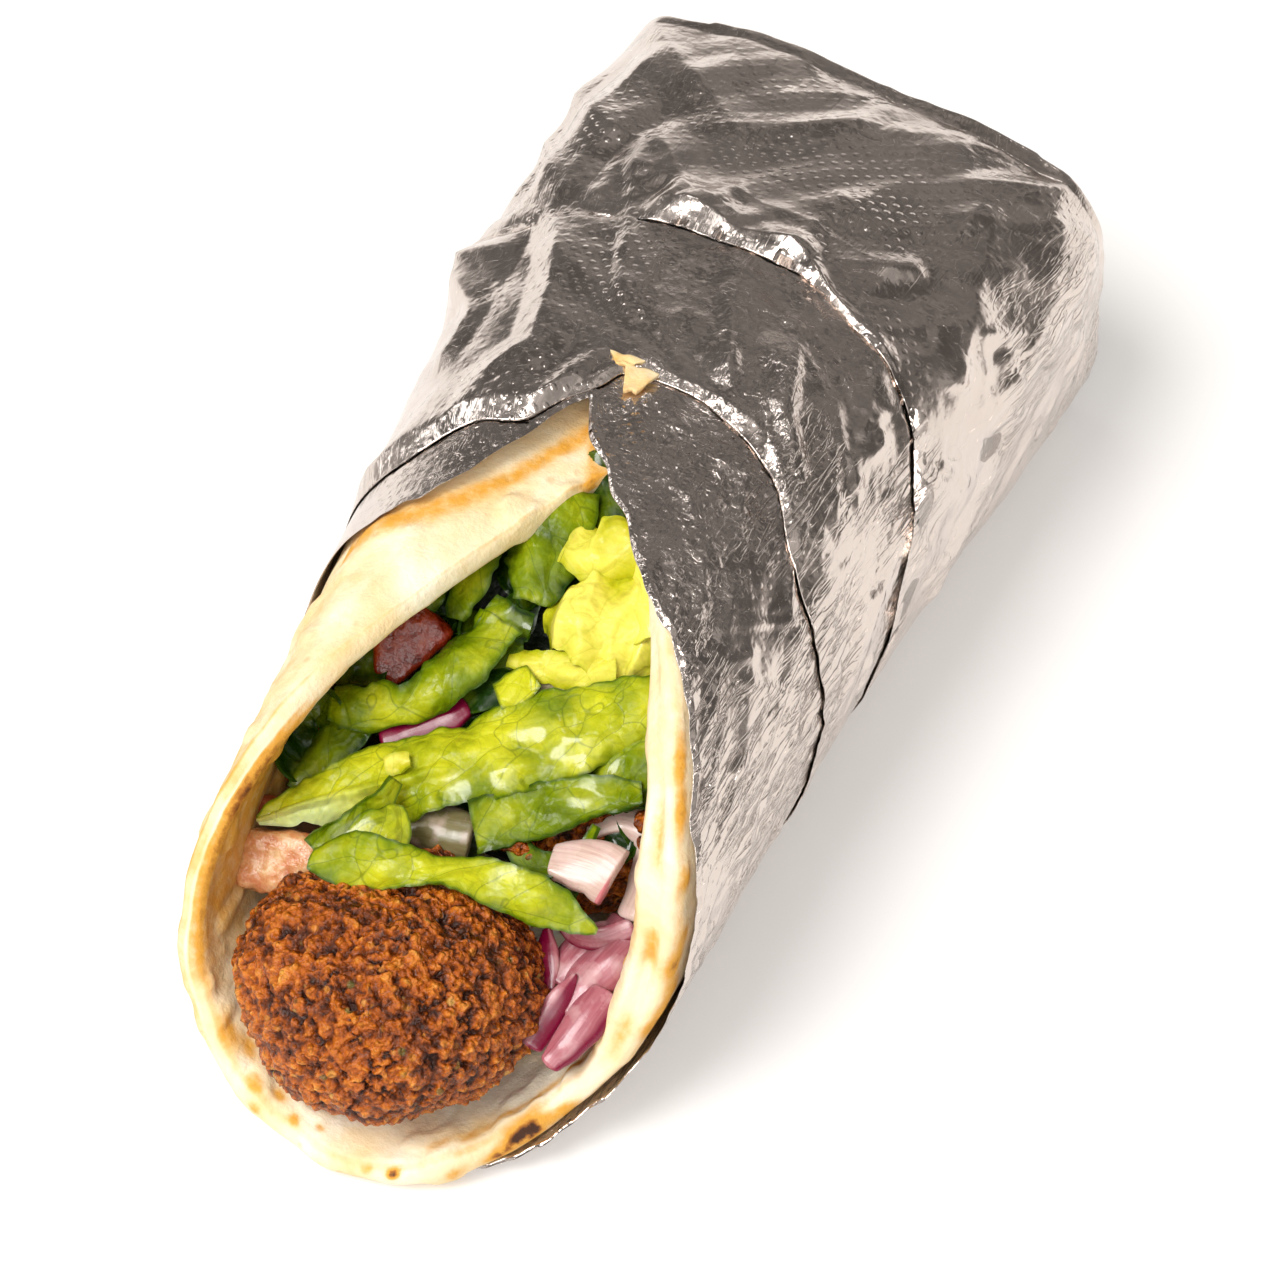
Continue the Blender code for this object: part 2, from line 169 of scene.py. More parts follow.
def bentSheet(name, columns, rows, place, uvPlace=None, marks=None, merge=0.000004):
    # a grid whose points are moved to place(u, v), then merged where it meets itself
    bpy.ops.object.select_all(action="DESELECT")
    bpy.ops.mesh.primitive_grid_add(x_subdivisions=columns, y_subdivisions=rows, size=1)
    sheet = bpy.context.object
    sheet.name = sheet.data.name = name
    mesh = sheet.data
    spots = np.empty(len(mesh.vertices) * 3)
    mesh.vertices.foreach_get("co", spots)
    spots = spots.reshape(-1, 3) + 0.5
    u, v = spots[:, 0], spots[:, 1]
    mesh.vertices.foreach_set("co", (place(u, v) * mm).astype(np.float32).ravel())
    if uvPlace is not None:
        corner = np.empty(len(mesh.loops), np.int32)
        mesh.loops.foreach_get("vertex_index", corner)
        layer = np.stack(uvPlace(u, v), -1)[corner]
        mesh.uv_layers[0].data.foreach_set("uv", layer.astype(np.float32).ravel())
    for mark, values in (marks(u, v) if marks else {}).items():
        layer = mesh.attributes.new(mark, "FLOAT", "POINT")
        layer.data.foreach_set("value", np.broadcast_to(values, u.shape).astype(np.float32))
    mesh.update()
    bpy.ops.object.mode_set(mode="EDIT")
    bpy.ops.mesh.select_all(action="SELECT")
    bpy.ops.mesh.remove_doubles(threshold=merge)
    bpy.ops.mesh.normals_make_consistent(inside=False)
    bpy.ops.object.mode_set(mode="OBJECT")
    bpy.ops.object.shade_smooth()
    sheet.select_set(False)
    return sheet


def roundPiece(name, detail, place, marks=None):
    # an ico sphere of radius 1 whose points are moved to place(points)
    bpy.ops.object.select_all(action="DESELECT")
    bpy.ops.mesh.primitive_ico_sphere_add(subdivisions=detail, radius=1)
    piece = bpy.context.object
    piece.name = piece.data.name = name
    mesh = piece.data
    spots = np.empty(len(mesh.vertices) * 3)
    mesh.vertices.foreach_get("co", spots)
    spots = spots.reshape(-1, 3)
    points, found = place(spots)
    mesh.vertices.foreach_set("co", (points * mm).astype(np.float32).ravel())
    for mark, values in found.items():
        layer = mesh.attributes.new(mark, "FLOAT", "POINT")
        layer.data.foreach_set("value", values.astype(np.float32))
    mesh.update()
    bpy.ops.object.shade_smooth()
    piece.select_set(False)
    return piece


def joinPieces(pieces, name):
    bpy.ops.object.select_all(action="DESELECT")
    for piece in pieces:
        piece.select_set(True)
    bpy.context.view_layer.objects.active = pieces[0]
    bpy.ops.object.join()
    joined = bpy.context.object
    joined.name = joined.data.name = name
    joined.select_set(False)
    return joined


class NodeMaker:  # adds and links the nodes of one tree

    def __init__(self, tree):
        self.tree = tree

    def fill(self, socket, value):
        if isinstance(value, bpy.types.NodeSocket):
            self.tree.links.new(value, socket)
        else:
            socket.default_value = value

    def add(self, kind, inputs=None, **settings):
        node = self.tree.nodes.new(kind)
        for key, value in settings.items():
            setattr(node, key, value)
        for key, value in (inputs or {}).items():
            self.fill(node.inputs[key], value)
        return node

    def math(self, operation, a, b=0.0):
        return self.add("ShaderNodeMath", {0: a, 1: b}, operation=operation).outputs[0]

    def mix(self, share, a, b, blend="MIX"):
        node = self.add("ShaderNodeMix", data_type="RGBA", blend_type=blend)
        for key, value in ((0, share), (6, a), (7, b)):
            self.fill(node.inputs[key], value)
        return node.outputs[2]

    def ramp(self, value, *stops):
        node = self.add("ShaderNodeValToRGB", {0: value})
        while len(node.color_ramp.elements) < len(stops):
            node.color_ramp.elements.new(0.5)
        for element, (place, colour) in zip(node.color_ramp.elements, stops):
            element.position = place
            element.color = (*colour, 1)
        return node.outputs[0]

    def mask(self, value, low, high, fromValue=0.0, toValue=1.0):
        inputs = {0: value, 1: low, 2: high, 3: fromValue, 4: toValue}
        return self.add(
            "ShaderNodeMapRange", inputs, interpolation_type="SMOOTHSTEP"
        ).outputs[0]

    def noise(self, place, scale, detail=3.0, roughness=0.5, distortion=0.0):
        inputs = {"Vector": place, "Scale": scale, "Detail": detail,
                  "Roughness": roughness, "Distortion": distortion}
        return self.add("ShaderNodeTexNoise", inputs).outputs[0]

    def cells(self, place, scale, feature="F1", output="Distance"):
        inputs = {"Vector": place, "Scale": scale}
        return self.add("ShaderNodeTexVoronoi", inputs, feature=feature).outputs[output]

    def stretch(self, place, x, y, z):
        return self.add(
            "ShaderNodeVectorMath", {0: place, 1: (x, y, z)}, operation="MULTIPLY"
        ).outputs[0]

    def shift(self, place, by, amount):
        moved = self.add(
            "ShaderNodeVectorMath", {0: by, 1: (0.5, 0.5, 0.5)}, operation="SUBTRACT"
        ).outputs[0]
        moved = self.stretch(moved, amount, amount, amount)
        return self.add("ShaderNodeVectorMath", {0: place, 1: moved}, operation="ADD").outputs[0]

    def mark(self, name):
        return self.add("ShaderNodeAttribute", attribute_name=name).outputs["Fac"]

    def bump(self, height, strength, distance):
        inputs = {"Height": height, "Strength": strength, "Distance": distance}
        return self.add("ShaderNodeBump", inputs).outputs[0]


def newMaterial(name):
    made = bpy.data.materials.new(name)
    made.use_nodes = True
    maker = NodeMaker(made.node_tree)
    solid = maker.add("ShaderNodeTexCoord").outputs["Object"]
    return made, maker, made.node_tree.nodes["Principled BSDF"], solid


shaderSockets = {
    "color": "Base Color", "roughness": "Roughness", "metallic": "Metallic",
    "normal": "Normal", "subsurface": "Subsurface Weight", "radius": "Subsurface Radius",
    "subsurfaceScale": "Subsurface Scale", "coat": "Coat Weight",
    "coatRoughness": "Coat Roughness", "specular": "Specular IOR Level", "alpha": "Alpha",
    "glow": "Emission Color", "glowStrength": "Emission Strength",
}


def finish(maker, shader, **values):
    for key, value in values.items():
        maker.fill(shader.inputs[shaderSockets[key]], value)


def dress(piece, material, slot, *nodes):
    piece.data.materials.clear()
    piece.data.materials.append(material)
    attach(piece, "root")
    if nodes:
        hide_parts(*nodes)


stage = {
    "azimuth": 24.5,
    "elevation": 48.0,
    "distance": 0.8,
    "lens": 148.5,
    "aim": (0.00905, -0.0122, 0.0315),
    "overhead": (0.205, 0.194, 0.185),  # what shiny foil sees above the horizon
    "floorGlow": 0.26,
}


def towards(azimuth, elevation):
    a, e = math.radians(azimuth), math.radians(elevation)
    return Vector((math.sin(a) * math.cos(e), -math.cos(a) * math.cos(e), math.sin(e)))


def buildStage():
    bpy.ops.mesh.primitive_plane_add(size=9, location=(0, 0, 0))
    floor = bpy.context.object
    floor.name = "floor"
    made, maker, shader, solid = newMaterial("paleFloor")
    tone = maker.ramp(maker.noise(solid, 3.0), (0.3, (0.70, 0.69, 0.68)), (0.7, (0.73, 0.72, 0.71)))
    finish(maker, shader, color=tone, roughness=0.9, specular=0.1,
           glow=(1.0, 0.97, 0.94, 1), glowStrength=stage["floorGlow"])
    floor.data.materials.append(made)
    floor.select_set(False)

    world = bpy.data.worlds.new("studio")
    bpy.context.scene.world = world
    world.use_nodes = True
    maker = NodeMaker(world.node_tree)
    direction = maker.add("ShaderNodeTexCoord").outputs["Generated"]
    upward = maker.add("ShaderNodeSeparateXYZ", {0: direction}).outputs[2]
    overhead = stage["overhead"]
    ground = ((0.0, (0.74, 0.70, 0.67)), (0.05, (0.72, 0.68, 0.65)))
    dim = maker.ramp(
        upward, *ground, (0.10, [0.75 * c for c in overhead]),
        (0.60, [0.45 * c for c in overhead]), (1.0, [0.80 * c for c in overhead]),
    )
    bright = maker.ramp(
        upward, *ground, (0.14, [2.0 * c for c in overhead]),
        (0.60, [1.4 * c for c in overhead]), (1.0, [2.2 * c for c in overhead]),
    )
    sky = maker.mix(maker.mask(maker.noise(direction, 2.6, 3.0), 0.40, 0.66), dim, bright)
    seen = maker.add("ShaderNodeLightPath").outputs["Is Camera Ray"]
    sky = maker.mix(seen, sky, (0.92, 0.91, 0.90, 1))
    world.node_tree.links.new(sky, world.node_tree.nodes["Background"].inputs[0])

    def lamp(name, azimuth, elevation, strength, angle, tint):
        bpy.ops.object.light_add(type="SUN", location=towards(azimuth, elevation) * 1.5)
        made = bpy.context.object
        made.name = name
        made.data.energy = strength
        made.data.angle = math.radians(angle)
        made.data.color = tint
        made.rotation_euler = towards(azimuth, elevation).to_track_quat("Z", "Y").to_euler()
        made.select_set(False)

    lamp("keyLight", -28, 57, 2.75, 30, (1.0, 0.985, 0.965))
    lamp("frontLight", 20, 42, 1.15, 40, (1.0, 0.985, 0.965))
    lamp("fillLight", 78, 48, 0.18, 60, (1.0, 0.975, 0.95))
    lamp("sideGlint", -88, 32, 0.40, 28, (1.0, 1.0, 1.0))
    lamp("topGlint", -120, 70, 0.12, 10, (1.0, 1.0, 1.0))

    bpy.ops.object.camera_add(
        location=Vector(stage["aim"]) + towards(stage["azimuth"], stage["elevation"]) * stage["distance"]
    )
    camera = bpy.context.object
    camera.name = "camera"
    back = towards(stage["azimuth"], stage["elevation"])
    camera.rotation_euler = back.to_track_quat("Z", "Y").to_euler()
    camera.data.sensor_width = 36
    camera.data.lens = stage["lens"]
    camera.data.clip_start = 0.01
    camera.select_set(False)
    bpy.context.scene.camera = camera
    bpy.context.scene.view_settings.view_transform = "Standard"


foil = {
    "columns": 460,
    "end": 98.0,  # where the sides fold into the end
    "slant": 6.0,
    "bulge": 3.0,
    "edge": 0.16,  # how thick a layer's edge shows
    "dotPitch": 1.95,
    # a warm beige tint: painted reflection of the warm surroundings the foil mirrors
    "color": (0.73, 0.645, 0.59),
}

# Creasing of each layer, outermost first. Folds run at an angle across the skin, from the
# girth direction; across and along are their spacing and length, rise their height, in mm.
foilGrain = (
    (
        dict(angle=133, across=6.5, along=36, rise=0.80, sharp=0.35, girth=(62, 150), y=(8, 110)),
        dict(angle=95, across=11.0, along=26, rise=0.9, sharp=0.8, girth=(60, 150), y=(45, 112)),
        dict(angle=20, across=5.0, along=15, rise=0.35, sharp=0.8, girth=(70, 150), y=(10, 60)),
        dict(angle=60, across=9.0, along=26, rise=0.9, sharp=0.8, girth=(134, 200), y=(5, 110)),
        dict(angle=112, across=5.0, along=16, rise=0.7, sharp=0.9, girth=(140, 200), y=(10, 75)),
        dict(angle=55, across=5.0, along=22, rise=0.35, sharp=0.6, girth=(20, 92), y=(0, 100)),
    ),
    (
        dict(angle=64, across=8.0, along=30, rise=1.1, sharp=0.6, girth=(60, 122), y=(-12, 50)),
        dict(angle=30, across=4.0, along=12, rise=0.4, sharp=0.85, girth=(84, 128), y=(-6, 50)),
        dict(angle=40, across=3.6, along=14, rise=0.30, sharp=0.8, girth=(25, 96), y=(-35, 40)),
        dict(angle=20, across=7.0, along=22, rise=0.55, sharp=0.6, girth=(118, 175), y=(0, 50)),
        dict(angle=100, across=4.0, along=9, rise=0.25, sharp=0.8, girth=(84, 150), y=(0, 50)),
    ),
    (
        dict(angle=68, across=3.6, along=15, rise=0.50, sharp=0.8, girth=(64, 112), y=(-60, 8)),
        dict(angle=45, across=3.0, along=11, rise=0.22, sharp=0.8, girth=(30, 84), y=(-90, 0)),
        dict(angle=88, across=2.4, along=16, rise=0.22, sharp=0.7, girth=(20, 78), y=(-95, -30)),
        dict(angle=15, across=5.0, along=14, rise=0.30, sharp=0.6, girth=(96, 170), y=(-50, 15)),
    ),
)


# Single folds as (girth, place along the roll) paths in mm: rise, and how far each side
# slopes towards greater and smaller girth
foilRidges = (
    (
        dict(path=((153.9, 95), (156.4, 82), (158.3, 72), (160.9, 61.4), (160.2, 48)), rise=2.0, high=5.5, low=9.0),
        dict(path=((166, 92), (168, 76), (169, 62), (168, 50)), rise=1.0, high=4.0, low=3.0),
        dict(path=((147.5, 62), (143.8, 50), (141, 42)), rise=0.9, high=2.2, low=8.0),
        dict(path=((92, 92), (101, 67), (112, 59)), rise=0.9, high=8.0, low=3.5),
        dict(path=((144, 71), (133, 77), (118, 88)), rise=0.7, high=4.0, low=4.0),
        dict(path=((112, 48), (104, 52), (98, 57)), rise=0.8, high=4.0, low=2.4),
        dict(path=((97, 78), (91.4, 60), (87.7, 50.7), (82, 38.5)), rise=1.3, high=7.0, low=6.0),
        dict(path=((118, 66), (108, 60), (101, 50)), rise=0.8, high=5.0, low=5.0),
        dict(path=((78, 84), (76, 66), (72, 50)), rise=0.9, high=5.0, low=7.0),
        dict(path=((66, 60), (60, 40), (52, 22)), rise=0.9, high=5.0, low=7.0),
    ),
    (
        dict(path=((160.2, 49), (151.6, 39.2), (147.5, 26), (144.7, 12.8), (152, 2)), rise=1.8, high=5.0, low=7.0),
        dict(path=((170, 34), (161.4, 21.5), (163, 8)), rise=1.2, high=3.5, low=4.0),
        dict(path=((143.8, 50), (139.7, 37.2), (134.8, 24.8)), rise=0.8, high=2.0, low=7.0),
        dict(path=((109, 30), (103, 14), (94, 3)), rise=1.2, high=7.0, low=2.8),
        dict(path=((98, 25), (91, 10), (86, 2)), rise=0.6, high=4.0, low=2.0),
        dict(path=((116, 24), (112, 12), (105, 3)), rise=0.7, high=4.5, low=2.2),
    ),
    (
        dict(path=((99.5, -30.3), (81.7, -11.6)), rise=0.30, high=1.0, low=0.8),
        dict(path=((118, -4), (108, -8), (98, -17)), rise=0.35, high=2.2, low=2.2),
    ),
)


def ridgeAt(girth, y, ridge):
    points = np.array(ridge["path"], float)
    steps = np.linalg.norm(np.diff(points, axis=0), axis=1)
    before = np.concatenate(([0], np.cumsum(steps)))
    nearest = np.full(np.shape(girth), 1e9)
    side, along = np.zeros_like(nearest), np.zeros_like(nearest)
    for (start, stop), step, done in zip(zip(points[:-1], points[1:]), steps, before):
        run = (stop - start) / step
        share = np.clip((girth - start[0]) * run[0] + (y - start[1]) * run[1], 0, step)
        offGirth, offY = girth - start[0] - run[0] * share, y - start[1] - run[1] * share
        away = np.hypot(offGirth, offY)
        closer = away < nearest
        across = offY * -run[0] * np.sign(run[1]) + offGirth * abs(run[1])
        nearest, side = np.where(closer, away, nearest), np.where(closer, across, side)
        along = np.where(closer, (done + share) / before[-1], along)
    width = np.where(side > 0, ridge["high"], ridge["low"])
    tent = np.maximum(0, 1 - nearest / width)
    ends = smoothStep(-0.05, 0.2, along) * (1 - smoothStep(0.8, 1.05, along))
    return ridge["rise"] * tent * ends


def foldAt(girth, y, fold, seed):
    angle = math.radians(fold["angle"])
    along = girth * math.cos(angle) + y * math.sin(angle)
    across = -girth * math.sin(angle) + y * math.cos(angle)
    inside = (
        smoothStep(fold["girth"][0] - 6, fold["girth"][0] + 6, girth)
        * (1 - smoothStep(fold["girth"][1] - 6, fold["girth"][1] + 6, girth))
        * smoothStep(fold["y"][0] - 5, fold["y"][0] + 5, y)
        * (1 - smoothStep(fold["y"][1] - 5, fold["y"][1] + 5, y))
    )
    spots = np.stack((across / fold["across"], along / fold["along"], 0 * across), -1)
    waves = noiseAt(spots, 1.0, seed)
    folded = 1 - 2.2 * np.abs(noiseAt(spots * 0.8, 1.0, seed + 50))
    height = (1 - fold["sharp"]) * 1.6 * waves + fold["sharp"] * folded
    return fold["rise"] * height * inside


def foilWrinkles(girth, y, layer):
    pressed = smoothStep(2, 16, girth) * smoothStep(2, 16, 2 * halfGirth - girth)
    height = 0.5 * noiseAt(flat(girth, y), 25, layer)
    for index, fold in enumerate(foilGrain[layer]):
        height += foldAt(girth, y, fold, 10 * layer + index)
    for ridge in foilRidges[layer]:
        height += ridgeAt(girth, y, ridge)
    flank = smoothStep(22, 34, girth) * (1 - smoothStep(88, 98, girth))
    lens = noiseAt(flat((girth + 0.5 * y) / 4.0, (y - 0.5 * girth) / 8.0), 1.0, 70 + layer)
    height += 1.5 * flank * smoothStep(38, 60, girth) * np.maximum(0, lens - 0.25)
    if layer < 2:  # the pinched corner that stands out on the left
        corner = np.maximum(0, 1 - np.abs(girth - 169) / 11) * np.maximum(0, 1 - np.abs(y - 37) / 12)
        height += 5.0 * corner**0.9
    return height * pressed


def facetLine(along, size, seed):  # straight runs between random heights from -1 to 1
    draw = np.random.default_rng(seed)
    knots = np.cumsum(draw.uniform(0.5, 1.5, int(400 / size)) * size) - 40
    return np.interp(along, knots, draw.uniform(-1, 1, len(knots)))


def foilHem(girth, y, start, width, rise, seed):
    # an edge strip that slopes up and back from the edge, pinched into flat facets along it
    back = y - start
    width = width * (1 + 0.35 * facetLine(girth, 5.0, seed))
    crimped = 1 + 0.40 * facetLine(girth + 0.6 * back, 3.4, seed + 1)
    up = np.clip(back / width, 0, 1)
    return rise * crimped * up * np.exp(-((np.maximum(back - width, 0) / (1.6 * width)) ** 1.5))


def foilHeight(turn, y, start, layer):
    girth = turn * halfGirth
    back = y - start
    top = smoothStep(0.60, 0.78, turn) * (1 - smoothStep(1.02, 1.12, turn))
    under = smoothStep(0.30, 0.48, turn) * (1 - smoothStep(0.66, 0.76, turn))
    left = smoothStep(1.05, 1.10, turn) * (1 - smoothStep(1.35, 1.45, turn))
    height = foilWrinkles(girth, y, layer)
    if layer < 2:  # an edge lies on the layer under it
        near = back < 9
        below = np.zeros_like(height)
        below[near] = foilWrinkles(girth[near], y[near], layer + 1) - 0.28
        below -= 0.55 * smoothStep(1.10, 1.16, turn) * (1 - smoothStep(1.5, 1.6, turn)) * (layer == 0)
        settle = smoothStep(0, 9, back)
        height = below * (1 - settle) + height * settle
        covered = smoothStep(0, 3, y - ringCurve(outerEdge, turn)) if layer == 1 else 0
    else:
        covered = smoothStep(0, 3, y - ringCurve(middleEdge, turn))
    height = height - 0.9 * covered
    if layer == 0:
        broad = 0.35 + 0.65 * smoothStep(0.86, 0.92, turn)
        height += foilHem(girth, y, start, 3.8 * broad, 2.3 * broad, 41) * smoothStep(0.70, 0.80, turn) * (1 - smoothStep(1.10, 1.13, turn))
    elif layer == 1:
        height += foilHem(girth, y, start, 2.2, 0.9, 43) * top
        height += foilHem(girth, y, start, 4.6, 1.6, 45) * left
    else:
        height += foilHem(girth, y, start, 1.2, 0.35, 47) * (top + under)
    return height + 0.25 * under * np.exp(-np.maximum(back, 0) / 4)


def foilPoint(y, turn, inset, height, floor):
    point = rollAt(y, turn, inset) + rollOutward(y, turn) * height[..., None]
    point[..., 2] = np.maximum(point[..., 2], floor)
    return point


def ragged(table, turn, layer):  # a torn edge's place along the roll
    girth = turn * halfGirth
    rough = (0.0, 0.0, 0.9)[layer]
    wander = (0.8, 0.8, 0.5)[layer]
    return (
        ringCurve(table, turn)
        + wander * noiseAt(flat(girth, 0 * girth), 13, 20 + layer)
        + rough * noiseAt(flat(girth, 0 * girth), 3.2, 24 + layer)
    )


def foilBand(name, front, back, inset, layer, rows, floor):
    # a wound layer, from its front edge to where the next layer hides it
    inner = 4
    total = rows + inner + 1

    def spread(u, v):
        turn = 2 * u
        row = np.rint(v * total).astype(int) % total
        outside = row <= rows
        share = np.where(outside, (row / rows) ** 1.15, 1 - (row - rows) / (inner + 1))
        share = np.where(row == total - 1, 0.02, share)
        start = ragged(front, turn, layer)
        stop = ringCurve(back, turn) + 9
        return turn, row, outside, start, start + (stop - start) * share

    def place(u, v):
        turn, row, outside, start, y = spread(u, v)
        height = foilHeight(turn, y, start, layer)
        height = np.where(outside, height, np.where(row == total - 1, height - foil["edge"], -0.35))
        return foilPoint(y, turn, inset, height, floor)

    def uvPlace(u, v):
        turn, row, outside, start, y = spread(u, v)
        return turn * halfGirth, y

    def marks(u, v):
        turn, row, outside, start, y = spread(u, v)
        crushed = smoothStep(0.70, 0.80, turn) * (1 - smoothStep(1.2, 1.35, turn)) if layer == 2 else 0.25
        flank = smoothStep(0.15, 0.3, turn) * (1 - smoothStep(0.72, 0.86, turn))
        left = smoothStep(1.12, 1.2, turn)
        if layer == 1:
            crushed = 0.25 + 0.45 * smoothStep(0.70, 0.80, turn) * (1 - smoothStep(1.02, 1.12, turn))
        return {"crushed": 0.8 * crushed, "dotted": 1 - 0.5 * left, "creases": 0.15 + 0.85 * flank}

    return bentSheet(name, foil["columns"], total, place, uvPlace, marks)


def foilPouch(name, rows, capRows):
    # the outermost layer, with the end that its back edge is folded into
    inner = 5
    total = inner + rows + capRows

    def spread(u, v):
        turn = 2 * u
        row = np.rint(v * total).astype(int)
        start = ragged(outerEdge, turn, 0)
        end = foil["end"] - foil["slant"] * np.sin(np.pi * turn)
        wall = np.clip((row - inner) / rows, 0, 1) ** 1.1
        shrink = np.clip((row - inner - rows) / capRows, 0, 1)
        y = start + (end - start) * wall
        hidden = row < inner
        y = np.where(hidden, start + (60 - start) * (inner - row) / inner, y)
        return turn, row, start, y, shrink, hidden

    def place(u, v):
        turn, row, start, y, shrink, hidden = spread(u, v)
        height = foilHeight(turn, y, start, 0)
        height = np.where(hidden, np.where(row == inner - 1, height - foil["edge"], -0.4), height)
        late = np.clip((y - foil["end"] + 15 + foil["slant"] * np.sin(np.pi * turn)) / 15, 0, 1)
        height = height - np.where(hidden, 0, late**2 * (2.6 - 1.4 * smoothStep(0.95, 1.25, turn)) * smoothStep(0.3, 0.6, turn))
        height = height * np.where(hidden, 1, 1 - 0.6 * smoothStep(0.0, 0.3, shrink))
        point = foilPoint(y, turn, 0.0, height, 0.0)
        reach = np.sin(0.5 * np.pi * (1 - shrink)) ** 0.55
        reach = np.where(hidden, np.where(row == 0, 0.0, 1.0), reach)
        middleX, middleZ = rollShift[0] - 3.2, 26.0
        point[..., 0] = middleX + (point[..., 0] - middleX) * reach
        point[..., 2] = middleZ + (point[..., 2] - middleZ) * reach
        x, z = point[..., 0] - middleX, point[..., 2] - middleZ
        endY = foil["end"] + rollShift[1] - foil["slant"] * x / 46.0
        endY += foil["bulge"] * 0.8 * (1 - (1 - shrink) ** 6)
        endY += endFolds(x, z) * smoothStep(0.02, 0.12, shrink)
        settled = smoothStep(0, 0.12, shrink)
        capped = (shrink > 0) & ~hidden
        point[..., 1] = np.where(capped, point[..., 1] * (1 - settled) + endY * settled, point[..., 1])
        return point

    def uvPlace(u, v):
        turn, row, start, y, shrink, hidden = spread(u, v)
        return turn * halfGirth, y + shrink * 35.0

    def marks(u, v):
        turn, row, start, y, shrink, hidden = spread(u, v)
        flank = smoothStep(0.15, 0.3, turn) * (1 - smoothStep(0.60, 0.74, turn))
        return {"crushed": 0.1, "dotted": 1.1 - 0.85 * smoothStep(foil["end"] - 12, foil["end"] - 3, y),
                "creases": 0.1 + 0.6 * flank}

    return bentSheet(name, foil["columns"], total, place, uvPlace, marks)


def endFolds(x, z):  # side flaps tucked under a flap that comes down from the top
    flap = np.minimum(x + 0.85 * z + 8, -x + 0.85 * z + 10)
    over = 0.9 * smoothStep(-0.6, 0.6, flap) * smoothStep(-30, -6, z)
    under = 0.5 * smoothStep(-0.5, 0.5, x - 2) * (1 - smoothStep(-0.6, 0.6, flap))
    folded = 1 - 2.2 * np.abs(noiseAt(flat(x, z), 8, 6))
    return over + under + 0.5 * noiseAt(flat(x, z), 11, 5) + 0.3 * folded


def dotGroup():  # rows of small pressed dots on a UV map in mm
    tree = bpy.data.node_groups.new("foilDots", "ShaderNodeTree")
    tree.interface.new_socket("Place", in_out="INPUT", socket_type="NodeSocketVector")
    tree.interface.new_socket("Pitch", in_out="INPUT", socket_type="NodeSocketFloat")
    tree.interface.new_socket("Height", in_out="OUTPUT", socket_type="NodeSocketFloat")
    maker = NodeMaker(tree)
    enter = maker.add("NodeGroupInput")
    leave = maker.add("NodeGroupOutput")
    pitch = maker.add(
        "ShaderNodeCombineXYZ", {0: enter.outputs[1], 1: enter.outputs[1], 2: enter.outputs[1]}
    ).outputs[0]
    scaled = maker.add(
        "ShaderNodeVectorMath", {0: enter.outputs[0], 1: pitch}, operation="DIVIDE"
    ).outputs[0]
    turned = maker.add(
        "ShaderNodeVectorRotate", {"Vector": scaled, "Angle": math.radians(38)},
        rotation_type="Z_AXIS",
    ).outputs[0]
    parts = maker.add("ShaderNodeSeparateXYZ", {0: turned})
    squares = []
    for axis in (0, 1):
        centred = maker.math("SUBTRACT", maker.math("FRACT", parts.outputs[axis]), 0.5)
        squares.append(maker.math("MULTIPLY", centred, centred))
    away = maker.math("SQRT", maker.math("ADD", *squares))
    tree.links.new(maker.mask(away, 0.34, 0.08), leave.inputs[0])
    return tree


